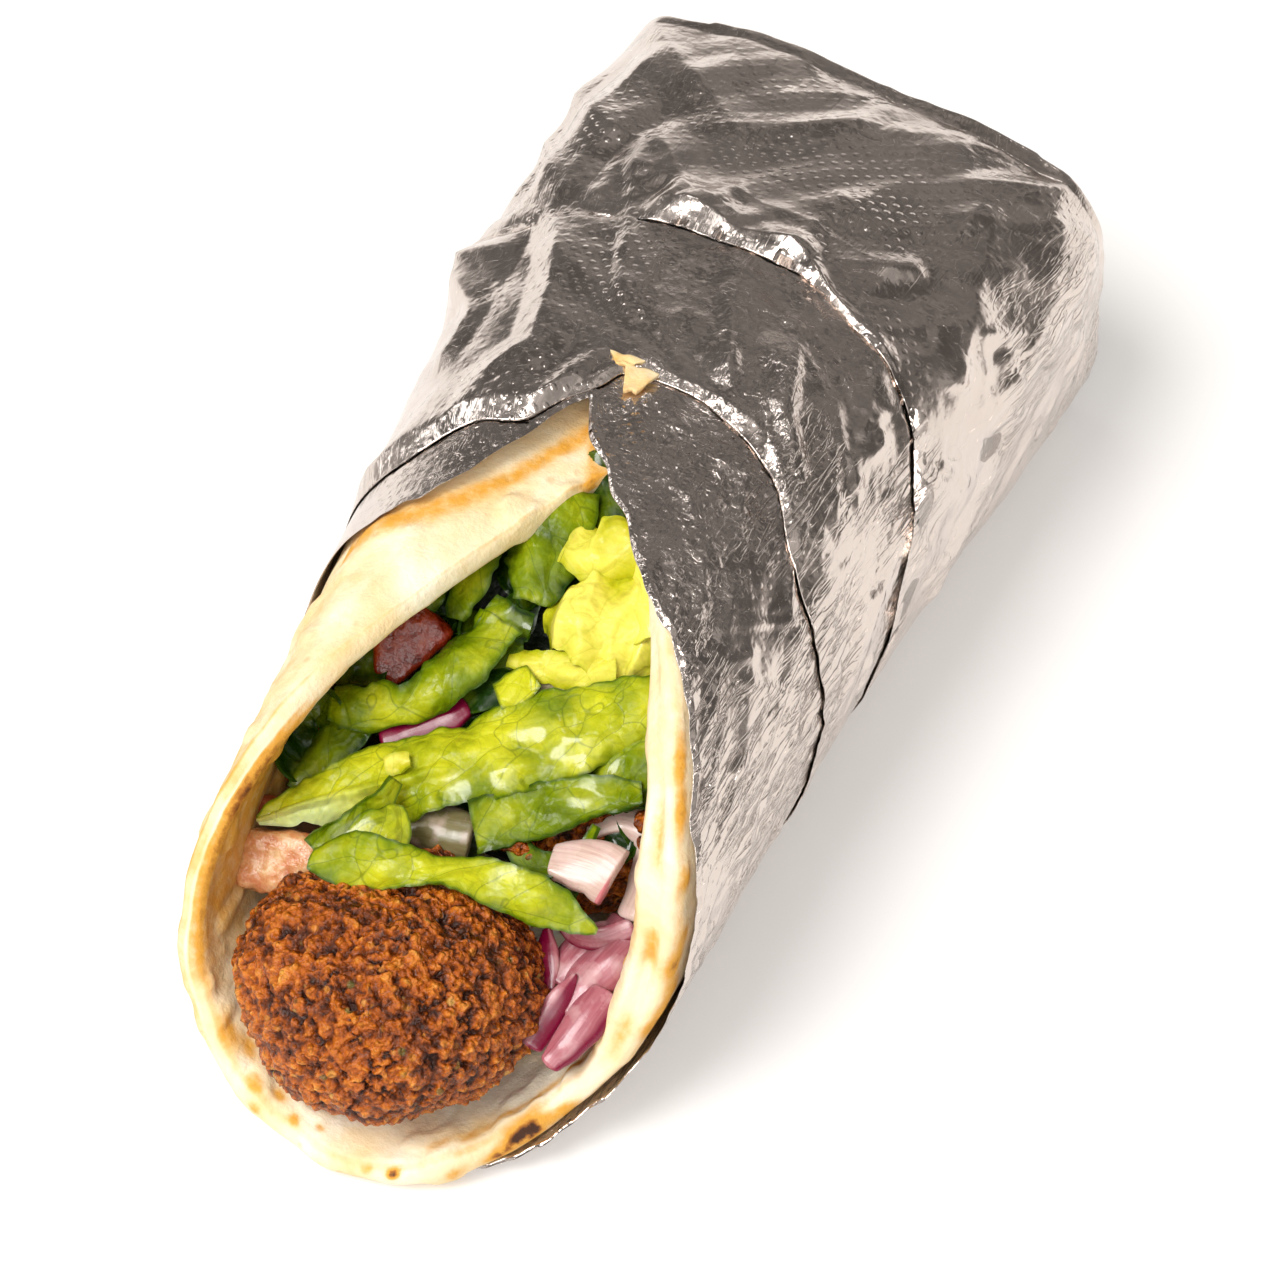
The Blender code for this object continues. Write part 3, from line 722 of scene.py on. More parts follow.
def foilMaterial():
    made, maker, shader, solid = newMaterial("embossedFoil")
    place = maker.add("ShaderNodeUVMap", uv_map="UVMap").outputs[0]
    dots = maker.add("ShaderNodeGroup", node_tree=dotGroup())
    maker.fill(dots.inputs["Place"], place)
    dots.inputs["Pitch"].default_value = foil["dotPitch"]
    crushed = maker.mark("crushed")
    pressedHard = maker.mask(maker.noise(solid, 34.0, 2.0), 0.42, 0.62, 0.25, 1.0)
    wander = maker.add("ShaderNodeTexNoise", {"Vector": solid, "Scale": 210.0, "Detail": 2.0}).outputs[1]
    bent = maker.shift(solid, wander, 0.006)
    # tiny creases as short threads, and the flat facets between small folds
    threads = maker.math("ABSOLUTE", maker.math("SUBTRACT", maker.noise(bent, 620.0, 2.0), 0.5))
    threads = maker.math("MULTIPLY", maker.mask(threads, 0.05, 0.0), maker.mask(maker.noise(solid, 240.0), 0.48, 0.62))
    facet = maker.add("ShaderNodeTexVoronoi", {"Vector": bent, "Scale": 260.0})
    apart = maker.add("ShaderNodeVectorMath", {0: bent, 1: facet.outputs["Position"]}, operation="SUBTRACT")
    tilt = maker.add("ShaderNodeVectorMath", {0: facet.outputs["Color"], 1: (0.5, 0.5, 0.5)}, operation="SUBTRACT")
    facets = maker.add("ShaderNodeVectorMath", {0: apart.outputs[0], 1: tilt.outputs[0]}, operation="DOT_PRODUCT").outputs["Value"]
    facets = maker.math("MULTIPLY", facets, maker.mask(crushed, 0, 1, 45.0, 240.0))
    soft = maker.noise(bent, 170.0, 2.0, 0.5)
    depth = maker.math("MULTIPLY", maker.mark("dotted"), 0.10)
    height = maker.math("MULTIPLY", dots.outputs[0], maker.math("MULTIPLY", pressedHard, depth))
    height = maker.math("ADD", height, maker.math("MULTIPLY", soft, 0.30))
    height = maker.math("ADD", height, facets)
    height = maker.math(
        "ADD", height, maker.math("MULTIPLY", threads, maker.math("MULTIPLY", crushed, 0.05))
    )
    fine = maker.math("MULTIPLY", maker.noise(solid, 1000.0, 3.0), maker.mask(crushed, 0, 1, 0.02, 0.16))
    height = maker.math("ADD", height, fine)
    creased = maker.noise(maker.stretch(place, 0.62, 0.10, 1), 1.0, 3.0, 0.55, 0.6)
    creased = maker.mask(maker.math("ABSOLUTE", maker.math("SUBTRACT", creased, 0.5)), 0.0, 0.075)
    where = maker.mask(maker.noise(solid, 42.0, 2.0), 0.40, 0.62)
    creased = maker.math("MULTIPLY", creased, maker.math("MULTIPLY", where, maker.mark("creases")))
    height = maker.math("ADD", height, maker.math("MULTIPLY", creased, 0.20))
    normal = maker.bump(height, 1.0, 0.001)
    dark, light = [0.93 * c for c in foil["color"]], foil["color"]
    color = maker.ramp(maker.noise(solid, 60.0, 3.0), (0.3, dark), (0.7, light))
    rough = maker.mask(maker.noise(solid, 120.0, 4.0), 0.3, 0.7, 0.13, 0.27)
    finish(maker, shader, color=color, metallic=1.0, roughness=rough, normal=normal)
    return made


def buildFoil():
    material = foilMaterial()
    outer = foilPouch("foil_outer", 150, 36)
    middle = foilBand("foil_middle", middleEdge, outerEdge, 0.5, 1, 84, 0.12)
    inner = foilBand("foil_inner", foilEdge, middleEdge, 1.0, 2, 140, 0.25)
    dress(outer, material, "foil", "foil_wrap")
    dress(middle, material, "foil")
    dress(inner, material, "foil")


bread = {
    "thickness": 4.8,
    "inset": 1.75,
    "overlapGap": 0.5,
    "flapRight": 1.06,
    "flapLeft": -1.14,
    "end": 88.0,
    "columns": 400,
    "depthRows": 108,
    "rimRows": 14,
}

# toasted patches: turn, distance back from the rim (under 0 outside), size, darkness
toastSpots = (
    (-0.30, 3, 3.4, 0.9), (-0.255, 5.5, 3.0, 0.9), (-0.215, 2.4, 2.0, 1.1), (-0.17, 4.0, 1.8, 1.0),
    (-0.19, 0.2, 1.5, 1.0), (-0.125, 2.5, 1.5, 1.0), (-0.08, 4, 1.2, 0.9), (0.02, 1, 1.3, 0.9),
    (0.065, 0.9, 1.3, 2.0), (0.12, 4.4, 2.4, 0.7), (0.165, 4.6, 2.8, 0.8), (0.21, 4.6, 2.8, 0.8),
    (0.255, 4.6, 2.8, 0.9), (0.30, 4.6, 2.6, 0.9), (0.235, -0.2, 2.9, 2.5), (0.20, -0.9, 2.0, 1.5),
    (0.275, -1.0, 2.2, 1.3), (0.15, -0.6, 1.8, 1.0), (0.36, 3.5, 2.4, 0.8), (0.40, 4, 2.6, 1.0),
    (0.45, 4.4, 2.6, 1.0), (0.50, 4.4, 2.6, 1.1), (0.56, 4.4, 2.6, 0.8), (0.62, 4.4, 2.4, 0.9),
    (0.68, 4.4, 2.4, 0.7), (0.74, 4.4, 2.2, 0.8), (0.42, -2.4, 2.2, 1.0), (0.455, -3.2, 2.4, 1.1),
    (0.50, -2.4, 2.2, 1.1), (0.53, -3.4, 2.0, 0.9), (0.60, -3, 2, 0.9), (0.66, -2.6, 2.0, 0.8),
    (0.70, -2.5, 2.2, 0.9),
)


def breadInset(turn):
    tuck = 1 - smoothStep(-0.96, -0.70, turn)
    return bread["inset"] + tuck * (bread["thickness"] + bread["overlapGap"])


def buildBread():
    deep, rim = bread["depthRows"], bread["rimRows"]
    total = 2 * deep + 2 * rim

    def spread(u, v):
        ends = 0.5 - 0.5 * np.cos(np.pi * np.clip(u, 0, 1))
        share = 0.86 * u + 0.14 * ends  # columns close up towards the flaps' ends
        turn = bread["flapLeft"] + (bread["flapRight"] - bread["flapLeft"]) * share
        # rows run from the back to the rim outside, round it, and back again inside
        row = np.rint(v * total).astype(int) % total
        depth = np.where(row <= deep, (deep - row) / deep, (row - deep - rim) / deep)
        front = (row > deep) & (row < deep + rim)
        behind = row > 2 * deep + rim
        depth = np.where(front, 0.0, np.where(behind, 1.0, depth))
        arc = np.where(front, (row - deep) / rim, np.where(behind, 1 - (row - 2 * deep - rim) / rim, 0))
        arc = np.where((row >= deep + rim) & ~behind, 1.0, arc)
        return turn, depth, arc, front, behind

    def place(u, v):
        turn, depth, arc, front, behind = spread(u, v)
        start = smoothCurve(breadRim, turn)[..., 0]
        radius = bread["thickness"] / 2
        back = (bread["end"] - start - 2 * radius) * depth**1.3
        girth = turn * halfGirth
        start = start + 0.7 * noiseAt(flat(girth, 0 * girth), 14, 31)
        y = start + radius + back
        spots = flat(girth, y)
        # the thickness ends in a round at both flaps
        toEnd = np.minimum(turn - bread["flapLeft"], bread["flapRight"] - turn) * halfGirth
        taper = np.sqrt(np.clip(1 - (1 - np.clip(toEnd / radius, 0, 1)) ** 2, 0, 1))
        nearRim = 1 - smoothStep(1, 10, back)
        rightSide = smoothStep(0.30, 0.42, turn) * (1 - smoothStep(0.74, 0.86, turn))
        leftSide = smoothStep(-0.35, -0.6, turn)
        fuller = (0.55 * rightSide - 0.25 * leftSide) * nearRim
        puff = 1 + fuller + 0.22 * noiseAt(flat(girth, 0 * girth), 9, 2) * nearRim
        half = radius * taper * puff
        wave = 0.55 * noiseAt(spots, 16, 1) + 0.30 * noiseAt(spots, 5, 4)
        blister = 0.7 * smoothStep(0.15, 0.5, noiseAt(spots, 6, 8)) + 0.16 * noiseAt(spots, 2.4, 9)
        wrapped = 1 - smoothStep(-2, 3, y - ringCurve(foilEdge, np.mod(turn, 2)))
        blister = blister * np.where(arc < 0.5, wrapped, 1.0)
        wave = wave * (0.3 + 0.7 * wrapped)
        crumb = np.hypot((turn + 0.624) * halfGirth, y + 79) / 2.0
        blister += 1.5 * np.exp(-(crumb**2)) * (arc < 0.5)
        outward = rollOutward(y, turn)
        inward = breadInset(turn) + radius * (1 + np.maximum(fuller, 0))
        middle = rollAt(y, turn, inward) + outward * (wave * 0.7)[..., None]
        angle = np.pi * arc
        point = middle + outward * ((half + blister * taper) * np.cos(angle))[..., None]
        groove = 0.62 * rightSide * np.exp(-(((arc - 0.50) / 0.11) ** 2))
        groove *= 0.7 + 1.0 * noiseAt(flat(girth, 0 * girth), 10, 12)
        reach = half * np.sin(angle) * (1 - groove)
        point[..., 1] += np.where(front, -reach, np.where(behind, reach, 0.0))
        point[..., 2] = np.maximum(point[..., 2], np.where(arc < 0.5, 0.45, 1.2))
        return point

    def uvPlace(u, v):
        turn, depth, arc, front, behind = spread(u, v)
        return turn * halfGirth, depth * 100 + arc * 4

    def marks(u, v):
        turn, depth, arc, front, behind = spread(u, v)
        start = smoothCurve(breadRim, turn)[..., 0]
        back = (bread["end"] - start) * depth**1.3
        signed = np.where(arc > 0.5, back, -back) + (arc - 0.5) * 6
        toastAndPaintedShade = np.zeros_like(turn)
        for spotTurn, spotBack, size, dark in toastSpots:
            away = np.hypot((turn - spotTurn) * halfGirth, (signed - spotBack) * 2.0) / size
            toastAndPaintedShade += dark * np.exp(-(away**2))
        girth = turn * halfGirth
        rightSide = smoothStep(0.30, 0.42, turn) * (1 - smoothStep(0.74, 0.86, turn))
        # painted shade: darker gold along the groove of the right rim
        toastAndPaintedShade += 0.8 * rightSide * np.exp(-(((arc - 0.50) / 0.10) ** 2)) * smoothStep(-0.2, 0.3, noiseAt(flat(girth, 0 * girth), 8, 12))
        # painted shade on the strip beside the foil on the left, under the foil's edge, and toast on the outside below
        # it
        y = start + 2.4 + back
        beside = ringCurve(foilEdge, np.mod(turn, 2)) - y
        foilShadeAndToast = np.exp(-((beside / 3.4) ** 2)) * (turn < -0.66) + 0.45 * smoothStep(-0.74, -0.62, turn) * (turn < -0.3) * (beside > 0)
        toastAndPaintedShade += 0.95 * foilShadeAndToast * (arc < 0.5)
        # the inner left wall is coloured orange: partly its own toast, partly painted shade from the left rim
        inside = (arc > 0.5) * smoothStep(-0.76, -0.66, turn) * (1 - smoothStep(-0.50, -0.28, turn))
        toastAndPaintedShade += (0.75 + 0.45 * smoothStep(-0.50, -0.62, turn)) * inside
        # painted light: the inner floor towards the front is coloured paler
        toastAndPaintedShade -= 0.5 * (arc > 0.5) * smoothStep(-0.25, -0.1, turn) * (1 - smoothStep(0.3, 0.4, turn)) * smoothStep(6, 10, signed)
        return {"toastAndPaintedShade": toastAndPaintedShade, "arc": arc, "back": back}

    sheet = bentSheet("flatbread_sheet", bread["columns"], total, place, uvPlace, marks)
    material = breadMaterial()
    dress(sheet, material, "bread", "flatbread")
    # two torn bits of bread where the foil's edges meet
    for name, turns, places, lift in (
        ("bread_bit_front", (0.984, 1.030), (7.4, 12.2), 0.7), ("bread_bit_rear", (1.008, 1.056), (11.8, 13.6), 1.0),
    ):
        def bitPlace(u, v):
            turn = 0.5 * (turns[0] + turns[1]) + (turns[1] - turns[0]) * (u - 0.5) * (0.35 + 0.65 * v)
            y = places[0] + (places[1] - places[0]) * (v - 0.2 * (1 - v) * np.abs(u - 0.4)) + 0.3 * noiseAt(flat(u * 6, v * 3), 1.5, 8)
            wavy = lift + 0.3 * noiseAt(flat(u * 6, v * 5), 2.5, 3)
            return rollAt(y, turn, 0.4) + rollOutward(y, turn) * wavy[..., None]

        bit = bentSheet(name, 24, 18, bitPlace, None, lambda u, v: {"toastAndPaintedShade": 0.55 - 0.3 * v, "arc": 0.5 * u, "back": 9 + v})
        thicken = bit.modifiers.new("thickness", "SOLIDIFY")
        thicken.thickness = 0.7 * mm
        bpy.context.view_layer.objects.active = bit
        bpy.ops.object.modifier_apply(modifier=thicken.name)
        dress(bit, material, "bread")


def breadMaterial():
    made, maker, shader, solid = newMaterial("toastedFlatbread")
    # the toast mark holds real toast and painted shade, and painted light where it drops below zero
    toastAndPaintedShade, arc, back = maker.mark("toastAndPaintedShade"), maker.mark("arc"), maker.mark("back")
    broad = maker.noise(solid, 70.0, 4.0, 0.6, 0.3)
    blotch = maker.noise(solid, 200.0, 4.0, 0.62)
    grain = maker.noise(solid, 900.0, 4.0, 0.6)
    broad = maker.math("SUBTRACT", broad, maker.math("MULTIPLY", toastAndPaintedShade, 0.22))
    pale = maker.ramp(broad, (0.30, (0.85, 0.61, 0.29)), (0.50, (0.92, 0.76, 0.49)), (0.68, (0.95, 0.87, 0.69)))
    onRim = maker.math("MULTIPLY", maker.mask(back, 3.0, 0.0), maker.math("ADD", maker.mask(maker.math("ABSOLUTE", maker.math("SUBTRACT", arc, 0.80)), 0.16, 0.02), maker.mask(maker.math("ABSOLUTE", maker.math("SUBTRACT", arc, 0.12)), 0.16, 0.02)))
    broken = maker.mask(maker.noise(solid, 480.0, 3.0, 0.6), 0.28, 0.66, 0.36, 0.64)
    amount = maker.math("ADD", maker.math("MULTIPLY", toastAndPaintedShade, broken), maker.math("MULTIPLY", blotch, 0.60))
    amount = maker.math("ADD", amount, maker.math("MULTIPLY", onRim, 0.22))
    golden = maker.mask(amount, 0.34, 0.90)
    brown = maker.mask(amount, 0.90, 1.25)
    char = maker.mask(amount, 1.15, 1.5)
    color = maker.mix(golden, pale, (0.76, 0.37, 0.05, 1))
    color = maker.mix(brown, color, (0.38, 0.13, 0.015, 1))
    color = maker.mix(char, color, (0.06, 0.02, 0.008, 1))
    freckle = maker.mask(maker.cells(solid, 170.0), 0.16, 0.05)
    color = maker.mix(maker.math("MULTIPLY", freckle, 0.35), color, (0.60, 0.32, 0.10, 1))
    height = maker.math("ADD", maker.math("MULTIPLY", blotch, 1.1), maker.math("MULTIPLY", grain, 0.30))
    rough = maker.mask(blotch, 0.2, 0.8, 0.50, 0.80)
    finish(maker, shader, color=color, roughness=rough, normal=maker.bump(height, 0.6, 0.0009),
           subsurface=0.12, radius=(1.0, 0.6, 0.3), subsurfaceScale=0.003, specular=0.35)
    return made


falafels = {
    "falafel_front": dict(
        detail=7, centre=(-2.2, -77.0, 21.4), size=(21.8, 21.8, 16.2), seed=1
    ),
    "falafel_rear": dict(
        detail=6, centre=(14, -38, 26), size=(16.5, 15.5, 13), seed=5
    ),
}


def crustHeight(spots, seed):
    # a lumpy ball under coarse crumbs, in mm
    lumps = 1.5 * noiseAt(spots, 16, seed) + 1.0 * noiseAt(spots, 7, seed + 1)
    warp = np.stack([noiseAt(spots, 1.6, seed + 20 + k) for k in range(3)], -1) * 1.1
    coarse, coarseNext = cellsAt(spots + warp, 2.3, seed)
    fine, fineNext = cellsAt(spots + warp * 0.6, 1.05, seed + 3)
    pits = smoothStep(0.16, 0.0, coarseNext - coarse) * smoothStep(0.0, 0.5, noiseAt(spots, 3, seed + 6))
    height = (
        lumps
        + 0.55 * noiseAt(spots, 3.2, seed + 7)
        + 1.35 * (0.62 - coarse)
        + 0.85 * (0.55 - fine)
        - 0.6 * pits
    )
    # depth is high on crumb tops and low in pits; the crust colour uses it as painted highlight and painted shade
    depth = 1.1 * (0.62 - coarse) + 0.8 * (0.55 - fine) - 0.8 * pits
    return height, depth


def buildFalafel(name, look):
    centre = np.array(look["centre"]) + rollShift
    size = np.array(look["size"])

    def place(ball):
        spots = ball * size
        height, depth = crustHeight(spots, look["seed"])
        height -= 1.8 * smoothStep(0.55, 1.0, ball @ np.array((0.79, -0.29, -0.54)))
        height += 1.6 * smoothStep(0.6, 1.0, ball @ np.array((-0.84, 0.0, 0.54)))
        length = np.linalg.norm(ball / size, axis=1, keepdims=True)
        outward = (ball / size) / length
        points = centre + spots + outward * height[:, None]
        points[:, 2] = np.maximum(points[:, 2], centre[2] - size[2] + 0.1)
        return points, {"depth": depth}

    ball = roundPiece(name + "_ball", look["detail"], place)
    return ball


crumbs = (  # place and size in mm
    ((24.4, -46.0, 38.4), (2.2, 2.0, 1.8)), ((25.4, -48.8, 37.4), (1.6, 1.4, 1.3)),
    ((7.4, -55.6, 35.6), (2.4, 1.8, 1.5)), ((10.6, -56.0, 35.0), (1.5, 1.3, 1.1)),
    ((-20.6, -72.4, 31.6), (1.4, 1.2, 1.0)),
)


def buildCrumbs(material):
    made = []
    for index, (centre, size) in enumerate(crumbs):

        def place(ball):
            spots = ball * np.array(size)
            bumps = 1 + 0.35 * noiseAt(spots, 1.2, index) + 0.15 * noiseAt(spots, 0.5, index + 9)
            points = spots * bumps[:, None] + np.array(centre) + rollShift
            return points, {"depth": 0.25 * noiseAt(spots, 0.6, index)}

        made.append(roundPiece("crumb" + str(index), 4, place))
    dress(joinPieces(made, "falafel_crumbs"), material, "falafel")


def falafelMaterial():
    made, maker, shader, solid = newMaterial("friedFalafelCrust")
    depth = maker.mark("depth")
    tone = maker.noise(solid, 520.0, 5.0, 0.72)
    crumb = maker.cells(solid, 900.0)
    broad = maker.noise(solid, 110.0, 3.0, 0.6)
    # painted light: lighter on crumb tops, darker in pits and between grains, from depth and crumb
    amount = maker.math("ADD", maker.math("MULTIPLY", depth, 0.42), maker.math("MULTIPLY", tone, 0.95))
    amount = maker.math("ADD", amount, maker.math("MULTIPLY", maker.math("SUBTRACT", broad, 0.5), 0.55))
    amount = maker.math("SUBTRACT", amount, maker.math("MULTIPLY", crumb, 0.12))
    color = maker.ramp(
        amount, (0.20, (0.038, 0.007, 0.001)), (0.36, (0.17, 0.034, 0.003)),
        (0.52, (0.45, 0.098, 0.005)), (0.70, (0.66, 0.19, 0.014)), (0.90, (0.84, 0.38, 0.06)),
    )
    speck = maker.add("ShaderNodeTexVoronoi", {"Vector": solid, "Scale": 640.0})
    near = maker.mask(speck.outputs["Distance"], 0.50, 0.25)
    pick = maker.add("ShaderNodeSeparateColor", {0: speck.outputs["Color"]})
    for channel, low, high, tint in (
        (0, 0.955, 0.965, (0.74, 0.42, 0.10, 1)), (1, 0.98, 0.985, (0.12, 0.13, 0.03, 1)),
        (2, 0.90, 0.91, (0.020, 0.008, 0.004, 1)), (1, 0.10, 0.09, (0.70, 0.25, 0.03, 1)),
    ):
        chosen = maker.mask(pick.outputs[channel], low, high)
        color = maker.mix(maker.math("MULTIPLY", maker.math("MULTIPLY", chosen, near), 0.7), color, tint)
    grain = maker.cells(solid, 1500.0)
    height = maker.math("SUBTRACT", maker.math("MULTIPLY", tone, 0.8), maker.math("MULTIPLY", grain, 0.40))
    height = maker.math("SUBTRACT", height, maker.math("MULTIPLY", crumb, 1.2))
    rough = maker.mask(maker.noise(solid, 700.0, 2.0), 0.35, 0.65, 0.16, 0.50)
    finish(maker, shader, color=color, roughness=rough, normal=maker.bump(height, 1.0, 0.0009),
           specular=0.4, coat=0.10, coatRoughness=0.16)
    return made


heapFace = np.array((0.0, -0.447, 0.894))  # the way the heap of filling faces

# Leaves: path and width in mm, lean in degrees about the path, cup and ruffle in mm
leaves = {
    "lettuce_strip_long": dict(
        path=((-29.5, -66, 34.0), (-25, -63.0, 36.0), (-18, -58.4, 38.2), (-6.3, -50.6, 41.3),
              (6, -42.6, 45.2), (14, -37.0, 47.6), (20.5, -32.5, 49.5)),
        width=(1.5, 8.0, 12.0, 12.5, 14.5, 12.5, 9.0), lean=(8, 6, 0, -6, -4, 0, 5), cup=-1.6,
        ruffle=0.9, jag=0.7, seed=1, tone=0.72, columns=150, rows=36, rib=0.16,
    ),
    "lettuce_strip_front": dict(
        path=((-18.0, -71.5, 36.8), (-12, -70.6, 38.6), (-5, -69.4, 39.6), (1.5, -67.4, 39.2),
              (7, -66.3, 39.4), (13, -66.0, 38.6), (18.5, -65.4, 36.8), (24.5, -64.5, 34.2)),
        width=(3.5, 8.0, 7.0, 5.0, 6.5, 7.5, 6.0, 1.5), lean=(-20, 10, 25, -25, -10, 15, 20, 10),
        cup=-0.8, ruffle=0.9, jag=0.5, seed=2, tone=0.66, columns=150, rows=30,
    ),
    "lettuce_strip_middle": dict(
        path=((1.0, -56.6, 37.4), (5, -54.0, 38.4), (11, -50.4, 40.0), (17, -47.0, 41.4),
              (22.5, -44.4, 42.4)),
        width=(8.0, 8.5, 8.0, 6.0, 3.5), lean=(12, 8, 4, 0, 0), cup=0.9, ruffle=0.7, jag=0.5,
        seed=3, tone=0.45, columns=110, rows=30,
    ),
    "lettuce_strip_rear": dict(
        path=((-26.5, -47.6, 42.2), (-21, -47.0, 43.0), (-15.5, -44.2, 44.2), (-11.5, -40.0, 46.2),
              (-9.0, -34.6, 48.8), (-7.6, -29.0, 51.2)),
        width=(5.0, 7.5, 6.0, 7.5, 8.5, 8.0), lean=(-15, 15, 30, 5, -20, -10), cup=-1.2,
        ruffle=1.2, jag=0.7, seed=4, tone=0.50, columns=130, rows=34,
    ),
}

# leaves and shreds of the heap itself; the low tones of those set deep in it are painted shade
heapLeaves = {
    "heap_leaf_front_fold": dict(
        path=((-18.8, -68.5, 34.5), (-15.5, -63.5, 37.6), (-12.0, -59.5, 40.3), (-11.5, -56.5, 41.8)),
        width=(5.0, 3.6, 3.6, 3.0), lean=(20, 30, 30, 60), cup=0.5, ruffle=0.5, jag=0.3, seed=5,
        tone=0.6, columns=60, rows=16,
    ),
    "heap_leaf_front_lobe": dict(
        path=((-9.5, -71.0, 37.6), (-9.6, -66.8, 39.6), (-9.0, -62.8, 41.0), (-9.4, -60.4, 41.2)),
        width=(7.0, 9.5, 8.0, 2.0), lean=(0, 0, 8, 0), cup=-0.9, ruffle=0.6, jag=0.4, seed=6,
        tone=0.72, columns=70, rows=24,
    ),
    "heap_leaf_side_lobe": dict(
        path=((22.0, -37.0, 45.8), (19.6, -40.0, 44.6), (17.6, -43.0, 42.8), (18.8, -46.4, 40.6)),
        width=(7.0, 9.5, 8.5, 1.5), lean=(10, 5, 0, 0), cup=-1.0, ruffle=0.6, jag=0.3, seed=7,
        tone=0.55, columns=70, rows=24,
    ),
    "heap_leaf_side_under": dict(
        path=((12.0, -42.5, 40.0), (19.0, -42.0, 40.6), (25.0, -41.0, 41.2)),
        width=(7.0, 9.0, 7.0), lean=(0, 0, 0), cup=0.8, ruffle=0.8, jag=0.4, seed=8,
        tone=0.30, columns=60, rows=20,
    ),
    "heap_leaf_knot_high": dict(
        path=((-10.6, -27.6, 49.8), (-6.6, -28.6, 49.6), (-3.0, -27.6, 49.2)),
        width=(6.0, 6.5, 4.0), lean=(0, 25, 10), cup=-0.9, ruffle=0.9, jag=0.5, seed=9,
        tone=0.18, columns=60, rows=20,
    ),
    "heap_leaf_knot_low": dict(
        path=((-11.0, -32.5, 46.4), (-6.0, -32.8, 46.6), (-2.5, -31.0, 47.0)),
        width=(4.0, 5.5, 5.0), lean=(-20, -10, 10), cup=-0.8, ruffle=0.8, jag=0.5, seed=10,
        tone=0.34, columns=60, rows=20,
    ),
    "heap_leaf_knot_dark": dict(
        path=((-11.5, -38.6, 43.4), (-6.5, -37.4, 44.6), (-1.5, -34.6, 45.4)),
        width=(6.5, 7.0, 3.0), lean=(10, 0, -10), cup=-1.0, ruffle=0.7, jag=0.4, seed=11,
        tone=0.16, columns=60, rows=20,
    ),
    "heap_leaf_hanging_left": dict(
        path=((-23.0, -19.5, 53.0), (-22.8, -24.0, 51.6), (-21.4, -28.6, 49.2), (-19.6, -32.4, 46.6)),
        width=(11.0, 11.0, 8.0, 3.0), lean=(0, 0, 10, 0), cup=-1.4, ruffle=1.6, jag=1.2, seed=12,
        tone=0.36, columns=70, rows=30,
    ),
    "heap_leaf_hanging_rib": dict(
        path=((-15.0, -15.5, 55.2), (-15.2, -20.0, 53.6), (-14.6, -25.5, 51.2), (-14.4, -29.8, 48.4)),
        width=(7.0, 6.5, 6.0, 3.0), lean=(0, 10, 0, 0), cup=-1.4, ruffle=0.9, jag=0.6, seed=13,
        tone=0.42, columns=70, rows=24,
    ),
    "heap_leaf_hanging_mid": dict(
        path=((-8.0, -8.0, 58.2), (-6.6, -13.6, 56.6), (-5.2, -19.6, 54.0), (-4.6, -24.4, 51.2)),
        width=(12.0, 12.5, 11.0, 5.0), lean=(0, 0, 0, 0), cup=-1.8, ruffle=1.2, jag=0.8, seed=14,
        tone=0.40, columns=80, rows=30,
    ),
    "heap_leaf_back_dark": dict(
        path=((-3.0, 1.0, 60.5), (0.5, -4.5, 59.0), (4.0, -10.0, 57.0), (6.0, -14.5, 54.6)),
        width=(14.0, 14.0, 12.0, 8.0), lean=(0, 5, 5, 0), cup=-1.6, ruffle=1.4, jag=0.8, seed=15,
        tone=0.04, columns=80, rows=30,
    ),
    "heap_leaf_curl": dict(
        path=((-23.8, -49.5, 39.5), (-27.4, -46.6, 41.0), (-30.4, -48.0, 40.6), (-31.0, -52.0, 38.6),
              (-29.0, -56.0, 36.2), (-26.0, -57.2, 35.2)),
        width=(5.0, 6.5, 7.0, 7.0, 6.0, 3.0), lean=(-35, -45, -50, -40, -30, -10), cup=1.2,
        ruffle=0.8, jag=0.4, seed=16, tone=0.22, columns=80, rows=24,
    ),
    "heap_leaf_curl_inner": dict(
        path=((-22.0, -47.5, 40.0), (-23.6, -51.5, 38.6), (-25.0, -56.0, 36.6), (-26.0, -59.5, 34.6)),
        width=(6.5, 7.0, 6.0, 4.0), lean=(10, 0, 0, 0), cup=-0.8, ruffle=0.8, jag=0.4, seed=17,
        tone=0.40, columns=60, rows=20,
    ),
    "heap_leaf_left_dark": dict(
        path=((-29.5, -34.0, 46.0), (-26.5, -38.0, 44.0), (-24.0, -42.5, 41.6)),
        width=(9.0, 10.0, 7.0), lean=(-20, 0, 0), cup=-1.0, ruffle=1.2, jag=0.6, seed=18,
        tone=0.06, columns=60, rows=20,
    ),
    "heap_leaf_shred_hook": dict(
        path=((6.8, -54.6, 35.6), (10.0, -57.2, 35.2), (14.0, -57.0, 35.6), (17.2, -53.6, 37.4),
              (18.0, -50.4, 39.2)),
        width=(3.2, 4.2, 4.0, 2.4, 1.6), lean=(20, 10, 0, -10, -20), cup=0.6, ruffle=0.4, jag=0.2,
        seed=19, tone=0.36, columns=60, rows=14,
    ),
    "heap_leaf_notch": dict(
        path=((-3.4, -38.6, 45.0), (-1.2, -36.8, 46.0), (0.6, -34.4, 47.2)),
        width=(5.0, 5.5, 4.0), lean=(-10, 0, 0), cup=-0.6, ruffle=0.5, jag=0.4, seed=20,
        tone=0.80, columns=40, rows=16,
    ),
}

